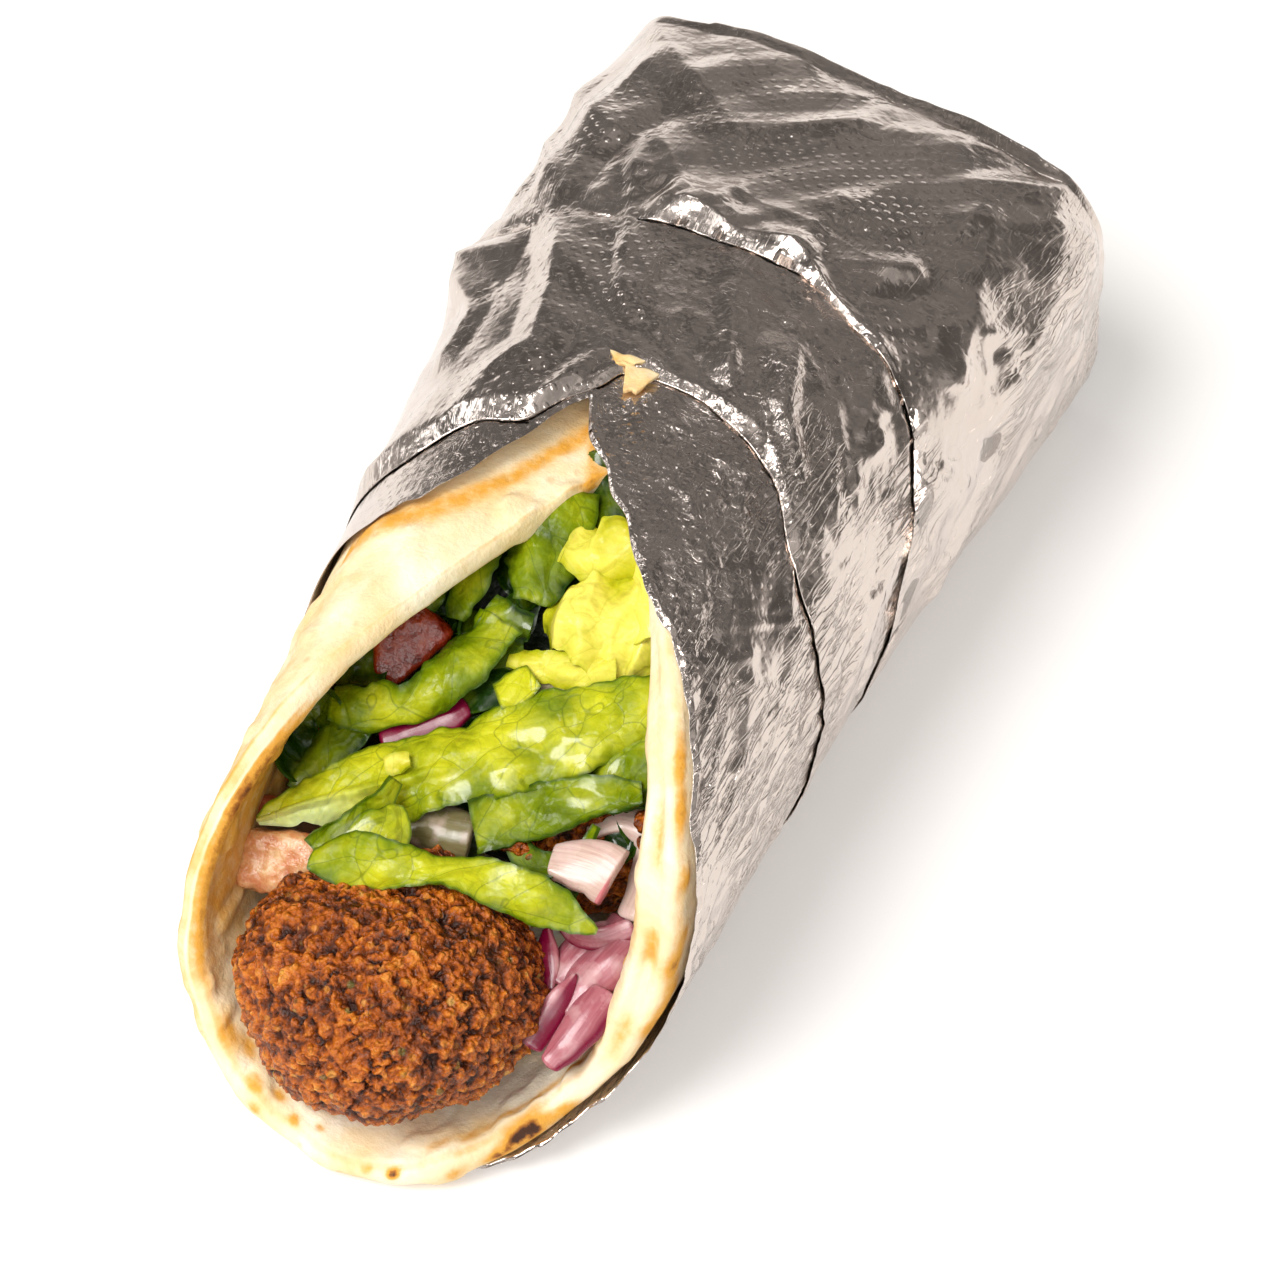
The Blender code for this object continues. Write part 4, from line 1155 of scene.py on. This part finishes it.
heartLeaves = {
    "lettuce_heart_leaf": dict(
        path=((-2.5, -25.2, 50.8), (2.6, -25.4, 52.0), (7.8, -24.6, 52.8), (12.6, -24.0, 52.6),
              (17.0, -23.4, 51.4)),
        width=(5.0, 12.0, 17.5, 19.5, 18.0), lean=(0, -6, 0, 8, 12), cup=-1.8, ruffle=2.0, jag=1.9, pleat=1.6,
        seed=31, tone=0.78, columns=110, rows=50,
    ),
    "heart_leaf_crown": dict(
        path=((-2.6, -15.0, 55.4), (1.0, -15.4, 56.2), (5.0, -14.4, 56.8), (9.0, -13.6, 56.8)),
        width=(7.0, 9.5, 9.0, 6.0), lean=(-8, 0, 12, 0), cup=-1.4, ruffle=1.3, jag=0.9, pleat=1.2, seed=32,
        tone=0.55, columns=80, rows=36,
    ),
    "heart_leaf_fold": dict(
        path=((4.6, -12.6, 58.0), (8.2, -16.0, 57.2), (11.6, -20.6, 55.6), (14.8, -26.0, 53.0)),
        width=(5.0, 6.5, 7.5, 5.0), lean=(30, 40, 40, 20), cup=-1.6, ruffle=0.9, jag=0.6, seed=33,
        tone=0.9, columns=80, rows=30,
    ),
    "heart_leaf_bit": dict(
        path=((-14.4, -54.0, 40.4), (-12.6, -52.8, 41.2), (-11.0, -52.2, 41.6)),
        width=(2.2, 3.6, 2.0), lean=(0, 14, 0), cup=-0.3, ruffle=0.4, jag=0.5, pleat=0.1, seed=35,
        tone=0.6, columns=30, rows=14,
    ),
    "heart_leaf_under": dict(
        path=((-4.5, -32.6, 46.8), (0.5, -32.4, 47.6), (6.0, -31.4, 48.4), (11.5, -29.5, 49.4)),
        width=(2.5, 5.0, 5.5, 4.5), lean=(0, 8, 0, -5), cup=-1.0, ruffle=0.9, jag=0.6, seed=34,
        tone=0.5, columns=70, rows=24,
    ),
}


def pathCurve(points):
    points = np.array(points, float)
    steps = np.concatenate(([0], np.cumsum(np.linalg.norm(np.diff(points, axis=0), axis=1))))
    return np.column_stack((steps / steps[-1], points)), steps[-1]


def pathFrame(table, s, lean):
    # place, direction, sideways and facing along a path whose face leans about it
    ahead = smoothCurve(table, np.minimum(s + 0.01, 1)) - smoothCurve(table, np.maximum(s - 0.01, 0))
    ahead /= np.linalg.norm(ahead, axis=-1, keepdims=True)
    face = heapFace - (ahead @ heapFace)[..., None] * ahead
    face /= np.linalg.norm(face, axis=-1, keepdims=True)
    side = np.cross(ahead, face)
    tilt = np.radians(lean)[..., None]
    return (
        smoothCurve(table, s) + rollShift, ahead,
        side * np.cos(tilt) - face * np.sin(tilt), face * np.cos(tilt) + side * np.sin(tilt),
    )


def evenTable(values):
    return np.column_stack((np.linspace(0, 1, len(values)), values))


def buildLeaf(name, leaf, thickness=0.45):
    table, length = pathCurve(leaf["path"])
    widths, leans = evenTable(leaf["width"]), evenTable(leaf["lean"])
    seed = leaf["seed"]

    def across(u, v):
        width = smoothCurve(widths, u)[..., 0]
        run = u * length
        sideOf = np.where(v > 0.5, 1.0, -1.0)
        jag = leaf["jag"] * (
            noiseAt(flat(run, sideOf * 9), 4.0, seed) + 0.7 * noiseAt(flat(run, sideOf * 9), 1.5, seed + 1)
        )
        reach = np.maximum(width / 2 + jag, 0.15)
        return (v - 0.5) * 2 * reach, reach, run

    def place(u, v):
        out, reach, run = across(u, v)
        endJag = leaf["jag"] * 0.9 * noiseAt(flat(out, 0 * out + 40), 3.0, seed + 2) / length
        ends = np.clip(np.abs(u - 0.5) * 2, 0, 1) ** 6
        s = np.clip(u + endJag * ends * np.sign(u - 0.5), 0, 1)
        middle, ahead, side, face = pathFrame(table, s, smoothCurve(leans, s)[..., 0])
        share = out / np.maximum(reach, 0.5)
        spots = flat(run, out)
        lift = leaf["cup"] * share**2 * np.minimum(reach / 5, 1)
        lift += leaf["ruffle"] * np.abs(share) ** 1.6 * noiseAt(flat(run, np.sign(out) * 8), 4.6, seed + 3)
        lift += leaf.get("pleat", 0.0) * (1 - 2.2 * np.abs(noiseAt(flat(run, out * 0.35), 4.6, seed + 6)))
        lift += 1.3 * leaf["ruffle"] * noiseAt(spots, 8.5, seed + 4) + 0.30 * noiseAt(spots, 3.4, seed + 5)
        lift += 0.5 * (1 - 2.2 * np.abs(noiseAt(flat(run * 0.6 + out * 0.5, out - 0.3 * run), 6.0, seed + 7)))
        if leaf.get("rib"):
            ridge = leaf["rib"] * np.sin(run * 5.0) * np.exp(-((share - 0.45) / 0.4) ** 2)
            lift += ridge * (1 - smoothStep(0.30, 0.42, u)) + 1.0 * np.exp(-((share - 0.1) / 0.12) ** 2) * (1 - smoothStep(0.4, 0.55, u))
        return middle + side * out[..., None] + face * lift[..., None]

    def uvPlace(u, v):
        out, reach, run = across(u, v)
        return run + 40.0 * seed, out

    def marks(u, v):
        out, reach, run = across(u, v)
        edge = np.minimum(reach - np.abs(out), np.minimum(u, 1 - u) * length)
        share = out / np.maximum(reach, 0.5)
        pale = (1 - smoothStep(0.12, 0.34, u)) * smoothStep(-0.1, 0.3, share)
        shaded = noiseAt(flat(run, out), 6.0, seed + 9)
        if leaf.get("pleat"):  # the bottoms of the pleats are painted darker and greener, as shade
            shaded = 0.5 * shaded + 0.8 - 3.4 * np.abs(noiseAt(flat(run, out * 0.35), 4.6, seed + 6))
        tone = leaf["tone"] + 0.06 - 0.30 * np.abs(share) ** 3 + 0.26 * shaded
        return {"edge": edge, "tone": tone, "pale": pale * (1 if leaf.get("rib") else 0)}

    sheet = bentSheet(name, leaf["columns"], leaf["rows"], place, uvPlace, marks, merge=0.000001)
    thicken = sheet.modifiers.new("thickness", "SOLIDIFY")
    thicken.thickness = thickness * mm
    thicken.offset = 0
    bpy.context.view_layer.objects.active = sheet
    bpy.ops.object.modifier_apply(modifier=thicken.name)
    sheet.select_set(True)
    bpy.ops.object.shade_smooth_by_angle(angle=math.radians(50))
    sheet.select_set(False)
    return sheet


def veinGroup():  # a net of veins on a UV map in mm
    tree = bpy.data.node_groups.new("leafVeins", "ShaderNodeTree")
    tree.interface.new_socket("Place", in_out="INPUT", socket_type="NodeSocketVector")
    tree.interface.new_socket("Veins", in_out="OUTPUT", socket_type="NodeSocketFloat")
    tree.interface.new_socket("Height", in_out="OUTPUT", socket_type="NodeSocketFloat")
    maker = NodeMaker(tree)
    enter = maker.add("NodeGroupInput")
    leave = maker.add("NodeGroupOutput")
    wander = maker.add("ShaderNodeTexNoise", {"Vector": enter.outputs[0], "Scale": 0.25, "Detail": 0.0})
    bent = maker.shift(enter.outputs[0], wander.outputs[1], 0.7)
    slanted = maker.add(
        "ShaderNodeVectorRotate", {"Vector": bent, "Angle": math.radians(28)}, rotation_type="Z_AXIS"
    ).outputs[0]
    large = maker.cells(maker.stretch(slanted, 0.09, 0.20, 1), 1.0, "DISTANCE_TO_EDGE")
    small = maker.cells(maker.stretch(bent, 0.34, 0.46, 1), 1.0, "DISTANCE_TO_EDGE")
    lines = maker.math(
        "MAXIMUM", maker.mask(large, 0.022, 0.002),
        maker.math("MULTIPLY", maker.mask(small, 0.06, 0.0), 0.34),
    )
    quilt = maker.math("ADD", maker.mask(large, 0.0, 0.22), maker.math("MULTIPLY", maker.mask(small, 0.0, 0.3), 0.35))
    tree.links.new(lines, leave.inputs[0])
    tree.links.new(quilt, leave.inputs[1])
    return tree


def leafMaterial(name, veins, dark, middle, light, edgeColor, edgeShare):
    made, maker, shader, solid = newMaterial(name)
    place = maker.add("ShaderNodeUVMap", uv_map="UVMap").outputs[0]
    net = maker.add("ShaderNodeGroup", node_tree=veins)
    maker.fill(net.inputs["Place"], place)
    tone, edge, pale = maker.mark("tone"), maker.mark("edge"), maker.mark("pale")
    patch = maker.noise(solid, 130.0, 4.0, 0.6)
    amount = maker.math("ADD", tone, maker.math("MULTIPLY", maker.math("SUBTRACT", patch, 0.5), 1.1))
    color = maker.ramp(amount, (0.05, dark), (0.45, middle), (0.9, light))
    color = maker.mix(maker.math("MULTIPLY", net.outputs["Veins"], 0.50 * edgeShare), color, (*edgeColor, 1))
    color = maker.mix(maker.math("MULTIPLY", maker.mask(edge, 0.55, 0.10), 0.75 * edgeShare), color, (*edgeColor, 1))
    color = maker.mix(maker.math("MULTIPLY", pale, 0.6), color, (0.66, 0.74, 0.34, 1))
    fine = maker.noise(solid, 700.0, 3.0, 0.6)
    height = maker.math("ADD", maker.math("MULTIPLY", net.outputs["Height"], 0.40), maker.math("MULTIPLY", fine, 0.22))
    height = maker.math("ADD", height, maker.math("MULTIPLY", maker.noise(solid, 150.0, 3.0), 1.4))
    rough = maker.mask(maker.noise(solid, 160.0, 3.0), 0.35, 0.65, 0.24, 0.50)
    wet = maker.mask(maker.noise(solid, 95.0, 3.0), 0.52, 0.62, 0.0, 0.8)
    finish(maker, shader, color=color, roughness=rough, normal=maker.bump(height, 0.9, 0.0008),
           coat=wet, coatRoughness=0.14, specular=0.22, subsurface=0.18,
           radius=(0.6, 1.0, 0.1), subsurfaceScale=0.0015)
    return made


def buildLettuce():
    veins = veinGroup()
    green = leafMaterial(
        "lettuceGreen", veins, (0.008, 0.030, 0.001), (0.17, 0.235, 0.001), (0.56, 0.565, 0.014),
        (0.030, 0.075, 0.001), 0.85,
    )
    heart = leafMaterial(
        "lettuceHeart", veins, (0.24, 0.30, 0.004), (0.52, 0.50, 0.014), (0.86, 0.78, 0.13),
        (0.36, 0.40, 0.01), 0.6,
    )
    for name, leaf in leaves.items():
        dress(buildLeaf(name + "_leaf", leaf), green, "lettuce", name)
    for name, leaf in heartLeaves.items():
        made = buildLeaf(name + "_sheet", leaf)
        dress(made, heart, "lettuce_heart", *([name] if name == "lettuce_heart_leaf" else []))
    for name, leaf in heapLeaves.items():
        dress(buildLeaf(name, leaf), green, "lettuce")
    print("leaves laid")
    buildShreds(green)
    buildCore()


heap = {"front": -56.0, "end": 60.0, "inset": 8.6, "shreds": 70}


def heapTop(y):
    return np.minimum(31 + 0.5 * (y + 60), 56)


def buildCore():
    # the mass of filling under the leaves, coloured near black as painted shade of the hollows
    rows = 70

    def place(u, v):
        turn = 2 * u
        shrink = np.clip(np.minimum(v, 1 - v) * 9, 0, 1)
        y = heap["front"] + 8 + (heap["end"] - heap["front"] - 8) * v
        y = y - 5 * (1 - shrink) * np.where(v < 0.5, -1, 1)
        point = rollAt(y, turn, heap["inset"])
        top = heapTop(y) - 6.5
        lumps = 2.2 * noiseAt(point, 9, 61) + 0.9 * noiseAt(point, 4, 62)
        middle = np.array((0.0, 0.0, 24.0)) + rollShift
        over = smoothStep(-4, 4, point[..., 2] - top)
        point[..., 2] = point[..., 2] * (1 - over) + (top + lumps) * over
        reach = np.sqrt(np.clip(1 - (1 - shrink) ** 2, 0, 1))
        point[..., 0] = middle[0] + (point[..., 0] - middle[0]) * reach
        point[..., 2] = middle[2] - 6 + (point[..., 2] - middle[2] + 6) * reach
        return point

    core = bentSheet("filling_core", 150, rows, place)
    made, maker, shader, solid = newMaterial("shadedFilling")
    tone = maker.noise(solid, 160.0, 4.0, 0.65)
    color = maker.ramp(tone, (0.35, (0.003, 0.004, 0.002)), (0.55, (0.010, 0.020, 0.003)), (0.75, (0.03, 0.055, 0.006)))
    rough = maker.mask(tone, 0.3, 0.7, 0.40, 0.75)
    finish(maker, shader, color=color, roughness=rough, normal=maker.bump(tone, 0.8, 0.002))
    dress(core, made, "lettuce", "salad_filling")


def buildShreds(material):
    draw = np.random.default_rng(7)
    shreds = []
    for index in range(heap["shreds"]):
        y = draw.uniform(-54, 2)
        half = 25 + 4 * (y + 54) / 56
        x = draw.uniform(-half, half)
        z = heapTop(y) - draw.uniform(2.0, 5.0)
        heading = draw.uniform(0, math.pi)
        reach = draw.uniform(4, 9)
        step = np.array((math.cos(heading), math.sin(heading) * 0.9, math.sin(heading) * 0.45)) * reach
        bend = np.array((0, -0.4, 0.9)) * draw.uniform(-1.5, 2.0)
        centre = np.array((x, y, z))
        # the shreds sit below the heap's top and get low tones, painted shade of the hollows
        leaf = dict(
            path=(centre - step, centre - 0.4 * step + bend, centre + 0.4 * step + bend, centre + step),
            width=(2.5, draw.uniform(3.5, 7), draw.uniform(3.5, 7), 2.0),
            lean=tuple(draw.uniform(-40, 40, 4)), cup=draw.uniform(-1.2, 1.2), ruffle=1.0, jag=0.6,
            seed=100 + index, tone=draw.uniform(-0.16, 0.14), columns=26, rows=9,
        )
        shreds.append(buildLeaf("shred" + str(index), leaf))
    dress(joinPieces(shreds, "lettuce_shreds"), material, "lettuce")


# Slices: path, width, thickness and lean as for leaves; skin is the share of purple skin
onionSlices = {
    "red_onion_1": dict(
        path=((15.4, -58.8, 28.3), (19.5, -61.3, 27.3), (23.2, -60.8, 27.5), (27.4, -57.8, 28.9)),
        width=(4.2, 3.8, 3.6, 3.0), thickness=0.9, lean=(35, 30, 25, 15), skin=0.30, seed=1,
    ),
    "red_onion_2": dict(
        path=((14.6, -60.6, 25.5), (15.6, -63.4, 24.2), (17.0, -66.0, 22.9), (18.6, -68.4, 21.6)),
        width=(1.4, 3.6, 3.6, 1.4), thickness=0.8, lean=(35, 25, 15, 5), skin=0.75, seed=2,
    ),
    "red_onion_3": dict(
        path=((19.3, -67.2, 22.1), (20.2, -63.4, 24.1), (21.8, -60.5, 25.6), (24.6, -58.2, 26.5)),
        width=(2.6, 6.6, 7.4, 4.4), thickness=0.9, lean=(10, 0, -5, 0), skin=0.14, seed=3,
    ),
    "red_onion_4": dict(
        path=((22.8, -71.4, 21.6), (23.0, -66.9, 24.1), (24.6, -62.7, 26.2), (27.0, -57.2, 28.7)),
        width=(1.8, 6.8, 9.0, 9.4), thickness=1.0, lean=(-5, -8, -8, 0), skin=0.10, seed=4,
    ),
    "red_onion_5": dict(
        path=((19.6, -77.4, 19.2), (20.4, -73.2, 21.5), (21.2, -69.7, 23.4), (21.9, -66.2, 25.0)),
        width=(3.4, 4.4, 3.6, 0.6), thickness=1.0, lean=(15, 18, 20, 20), skin=0.60, seed=5,
    ),
    "red_onion_6": dict(
        path=((23.2, -79.2, 18.9), (25.0, -74.9, 21.1), (26.3, -70.5, 23.3), (27.2, -66.8, 24.8)),
        width=(3.0, 5.2, 6.2, 6.4), thickness=1.1, lean=(15, 10, 8, 0), skin=0.34, seed=6,
    ),
    "magenta_onion_strip": dict(
        path=((-18.0, -48.8, 39.2), (-14.2, -46.0, 40.4), (-10.4, -43.0, 41.6), (-7.6, -40.0, 43.0)),
        width=(4.0, 5.4, 5.4, 3.0), thickness=1.3, lean=(0, 0, 0, 0), skin=1.0, seed=7,
    ),
}

paleSlices = {
    "onion_white_piece": dict(
        path=((-9.4, -58.2, 33.4), (-6.4, -57.4, 34.4), (-3.0, -57.2, 34.6), (0.8, -56.6, 34.4)),
        width=(3.4, 8.4, 9.2, 5.6), thickness=2.6, lean=(0, 0, 5, 10), skin=0.0, seed=11, grey=True,
    ),
    "onion_chunk": dict(
        path=((13.4, -56.4, 35.4), (16.6, -56.0, 36.2), (20.0, -55.8, 36.6), (23.4, -56.2, 36.2)),
        width=(4.6, 7.0, 8.4, 9.2), thickness=2.8, lean=(-15, -6, 4, 10), skin=0.0, seed=12,
        endSkin=0.5, bow=0.4,
    ),
    "pale_onion_petal": dict(
        path=((15.6, -49.0, 35.4), (19.8, -45.6, 37.0), (24.4, -46.4, 37.0), (26.8, -51.0, 34.6), (27.2, -58.4, 31.0)),
        width=(3.0, 5.0, 6.0, 7.5, 6.5), thickness=0.8, lean=(-20, -10, 0, 10, 10), skin=0.04, seed=9,
    ),
    "lilac_onion_slice": dict(
        path=((-1.6, -37.4, 43.0), (1.8, -35.4, 44.6), (5.4, -33.8, 45.8), (10.4, -32.2, 46.6)),
        width=(3.0, 5.0, 5.2, 3.4), thickness=1.2, lean=(0, 0, 0, 0), skin=0.06, seed=8, grey=True,
    ),
}


def buildSlice(name, piece):
    # a solid strip with softly squared sides
    table, length = pathCurve(piece["path"])
    widths, leans = evenTable(piece["width"]), evenTable(piece["lean"])
    seed = piece["seed"]

    def section(u, v):
        angle = 2 * np.pi * u
        sine, cosine = np.sin(angle), np.cos(angle)
        out = np.sign(cosine) * np.abs(cosine) ** 0.30
        rise = np.sign(sine) * np.abs(sine) ** 0.40
        closing = np.clip(np.minimum(v, 1 - v) * 26, 0, 1) ** 0.4
        return out, rise, closing

    def place(u, v):
        out, rise, closing = section(u, v)
        middle, ahead, side, face = pathFrame(table, v, smoothCurve(leans, v)[..., 0])
        half = smoothCurve(widths, v)[..., 0] / 2 * closing
        run = v * length
        across = out * half * (1 + 0.10 * noiseAt(flat(run, out), 3.0, seed))
        bow = -piece.get("bow", 1.2) * (across / 3.0) ** 2
        up = rise * piece["thickness"] / 2 * closing + bow + 0.25 * noiseAt(flat(run, across), 4.0, seed + 2)
        return middle + side * across[..., None] + face * up[..., None]

    def uvPlace(u, v):
        out, rise, closing = section(u, v)
        half = smoothCurve(widths, v)[..., 0] / 2
        return v * length + 30.0 * seed, out * half + rise

    def marks(u, v):
        out, rise, closing = section(u, v)
        skin = piece["skin"] + piece.get("endSkin", 0.0) * smoothStep(0.90, 0.96, v)
        return {"rim": out, "skin": skin, "face": rise}

    return bentSheet(name, 44, 60, place, uvPlace, marks, merge=0.000001)


def onionMaterial(name, flesh, shade, skinColor, stripe):
    made, maker, shader, solid = newMaterial(name)
    place = maker.add("ShaderNodeUVMap", uv_map="UVMap").outputs[0]
    rim, skin = maker.mark("rim"), maker.mark("skin")
    streak = maker.noise(maker.stretch(place, 0.10, 2.2, 1), 1.0, 3.0, 0.6)
    cloud = maker.noise(solid, 260.0, 3.0)
    color = maker.mix(maker.mask(streak, 0.32, 0.80), (*flesh, 1), (*shade, 1))
    color = maker.mix(maker.math("MULTIPLY", maker.mask(cloud, 0.45, 0.7), 0.4), color, (0.78, 0.56, 0.54, 1))
    limit = maker.mask(skin, 0.0, 1.0, 0.98, -1.2)
    edge = maker.add("ShaderNodeMapRange", {0: rim, 1: limit, 2: maker.math("ADD", limit, 0.35), 3: 0.0, 4: 1.0})
    shown = maker.math("MULTIPLY", edge.outputs[0], maker.mask(skin, 0.0, 0.05))
    color = maker.mix(shown, color, (*skinColor, 1))
    height = maker.math("ADD", maker.math("MULTIPLY", streak, stripe), maker.math("MULTIPLY", cloud, 0.3))
    rough = maker.mask(cloud, 0.3, 0.7, 0.18, 0.36)
    finish(maker, shader, color=color, roughness=rough, normal=maker.bump(height, 0.5, 0.0006),
           subsurface=0.35, radius=(1.0, 0.5, 0.6), subsurfaceScale=0.0025, coat=0.2,
           coatRoughness=0.1)
    return made


def buildOnions():
    red = onionMaterial("redOnion", (0.44, 0.145, 0.17), (0.32, 0.065, 0.095), (0.19, 0.002, 0.030), 0.14)
    grey = onionMaterial("greyOnion", (0.22, 0.19, 0.085), (0.16, 0.13, 0.05), (0.30, 0.15, 0.14), 0.10)
    pale = onionMaterial("paleOnion", (0.66, 0.49, 0.41), (0.52, 0.33, 0.29), (0.62, 0.20, 0.22), 0.2)
    for name, piece in onionSlices.items():
        node = [name] if name.startswith("red_onion") else []
        dress(buildSlice(name + "_slice", piece), red, "red_onion", *node)
    for name, piece in paleSlices.items():
        node = [name] if name in ("onion_white_piece", "onion_chunk") else []
        dress(buildSlice(name + "_cut", piece), grey if piece.get("grey") else pale, "onion", *node)


tomatoes = {
    "tomato_wedge": dict(
        centre=(-21.6, -34.0, 44.4), size=(8.0, 2.4, 6.4), seed=3, ripe=1.0, taper=0.75, square=0.32, rough=0.05,
        axes=((0.917, -0.062, -0.394), (0.2775, -0.609, 0.743), (0.05, 0.80, 0.60)),
    ),
    "tomato_chunk": dict(
        centre=(-25.6, -68.2, 28.6), size=(8.2, 2.6, 4.6), seed=4, ripe=0.0, taper=0.25, square=0.5, rough=0.22,
        axes=((0.93, 0.25, 0.10), (0.2775, -0.609, 0.743), (-0.25, 0.72, 0.65)),
    ),
    "tomato_bit": dict(centre=(-28.4, -62.0, 32.6), size=(3.6, 1.8, 1.2), turn=(0.4, 0.0, 0.1), seed=5, ripe=0.8),
    "tomato_drip": dict(centre=(-31.0, -72.5, 21.0), size=(0.8, 1.8, 3.0), turn=(0.5, 0.0, 0.2), seed=6, ripe=0.3),
    "tomato_skin": dict(centre=(-18.6, -67.2, 31.2), size=(1.0, 2.6, 2.2), turn=(0.3, 0.2, 0.6), seed=7, ripe=1.0),
}


def buildTomatoes():
    made, maker, shader, solid = newMaterial("tomatoFlesh")
    ripe, skin = maker.mark("ripe"), maker.mark("skin")
    pulp = maker.noise(solid, 330.0, 4.0, 0.65)
    grains = maker.cells(solid, 620.0)
    paleFlesh = maker.ramp(pulp, (0.30, (0.48, 0.13, 0.04)), (0.50, (0.62, 0.28, 0.11)), (0.72, (0.74, 0.52, 0.27)))
    redFlesh = maker.ramp(pulp, (0.30, (0.10, 0.006, 0.002)), (0.55, (0.27, 0.022, 0.003)), (0.75, (0.46, 0.07, 0.008)))
    color = maker.mix(ripe, paleFlesh, redFlesh)
    color = maker.mix(skin, color, (0.52, 0.022, 0.008, 1))
    height = maker.math("ADD", pulp, maker.math("MULTIPLY", grains, 0.4))
    finish(maker, shader, color=color, roughness=maker.mask(pulp, 0.3, 0.7, 0.18, 0.36),
           normal=maker.bump(height, 0.7, 0.0008), subsurface=0.3, radius=(1.0, 0.35, 0.2),
           subsurfaceScale=0.003, coat=0.2, coatRoughness=0.1)
    for name, look in tomatoes.items():
        centre, size, seed = np.array(look["centre"]) + rollShift, np.array(look["size"]), look["seed"]
        a, b, c = look.get("turn", (0, 0, 0))
        turnX = np.array(((1, 0, 0), (0, math.cos(a), -math.sin(a)), (0, math.sin(a), math.cos(a))))
        turnY = np.array(((math.cos(b), 0, math.sin(b)), (0, 1, 0), (-math.sin(b), 0, math.cos(b))))
        turnZ = np.array(((math.cos(c), -math.sin(c), 0), (math.sin(c), math.cos(c), 0), (0, 0, 1)))

        def place(ball):
            squared = np.sign(ball) * np.abs(ball) ** look.get("square", 0.72)
            spots = squared * size
            spots[:, 0] *= 1 - look.get("taper", 0.0) * (0.5 - 0.5 * squared[:, 2])
            uneven = look.get("rough", 0.14) * noiseAt(spots, 4, seed)
            spots = spots * (1 + uneven + 0.05 * noiseAt(spots, 1.6, seed + 1))[:, None]
            turned = np.array(look["axes"]) if "axes" in look else (turnZ @ turnX @ turnY).T
            points = spots @ turned + centre
            skinned = smoothStep(0.62, 0.8, ball[:, 0]) * (look["ripe"] < 0.5)
            return points, {"ripe": np.full(len(ball), look["ripe"]), "skin": skinned}

        node = [name] if name in ("tomato_wedge", "tomato_chunk") else []
        dress(roundPiece(name + "_cut", 6, place), made, "tomato", *node)


buildStage()
print("stage ready")
buildFoil()
print("foil wound")
buildBread()
print("bread rolled")
crust = falafelMaterial()
for name, look in falafels.items():
    dress(buildFalafel(name, look), crust, "falafel", name)
buildCrumbs(crust)
print("falafels fried")
buildLettuce()
print("heap filled")
buildOnions()
buildTomatoes()
print("onion and tomato cut")
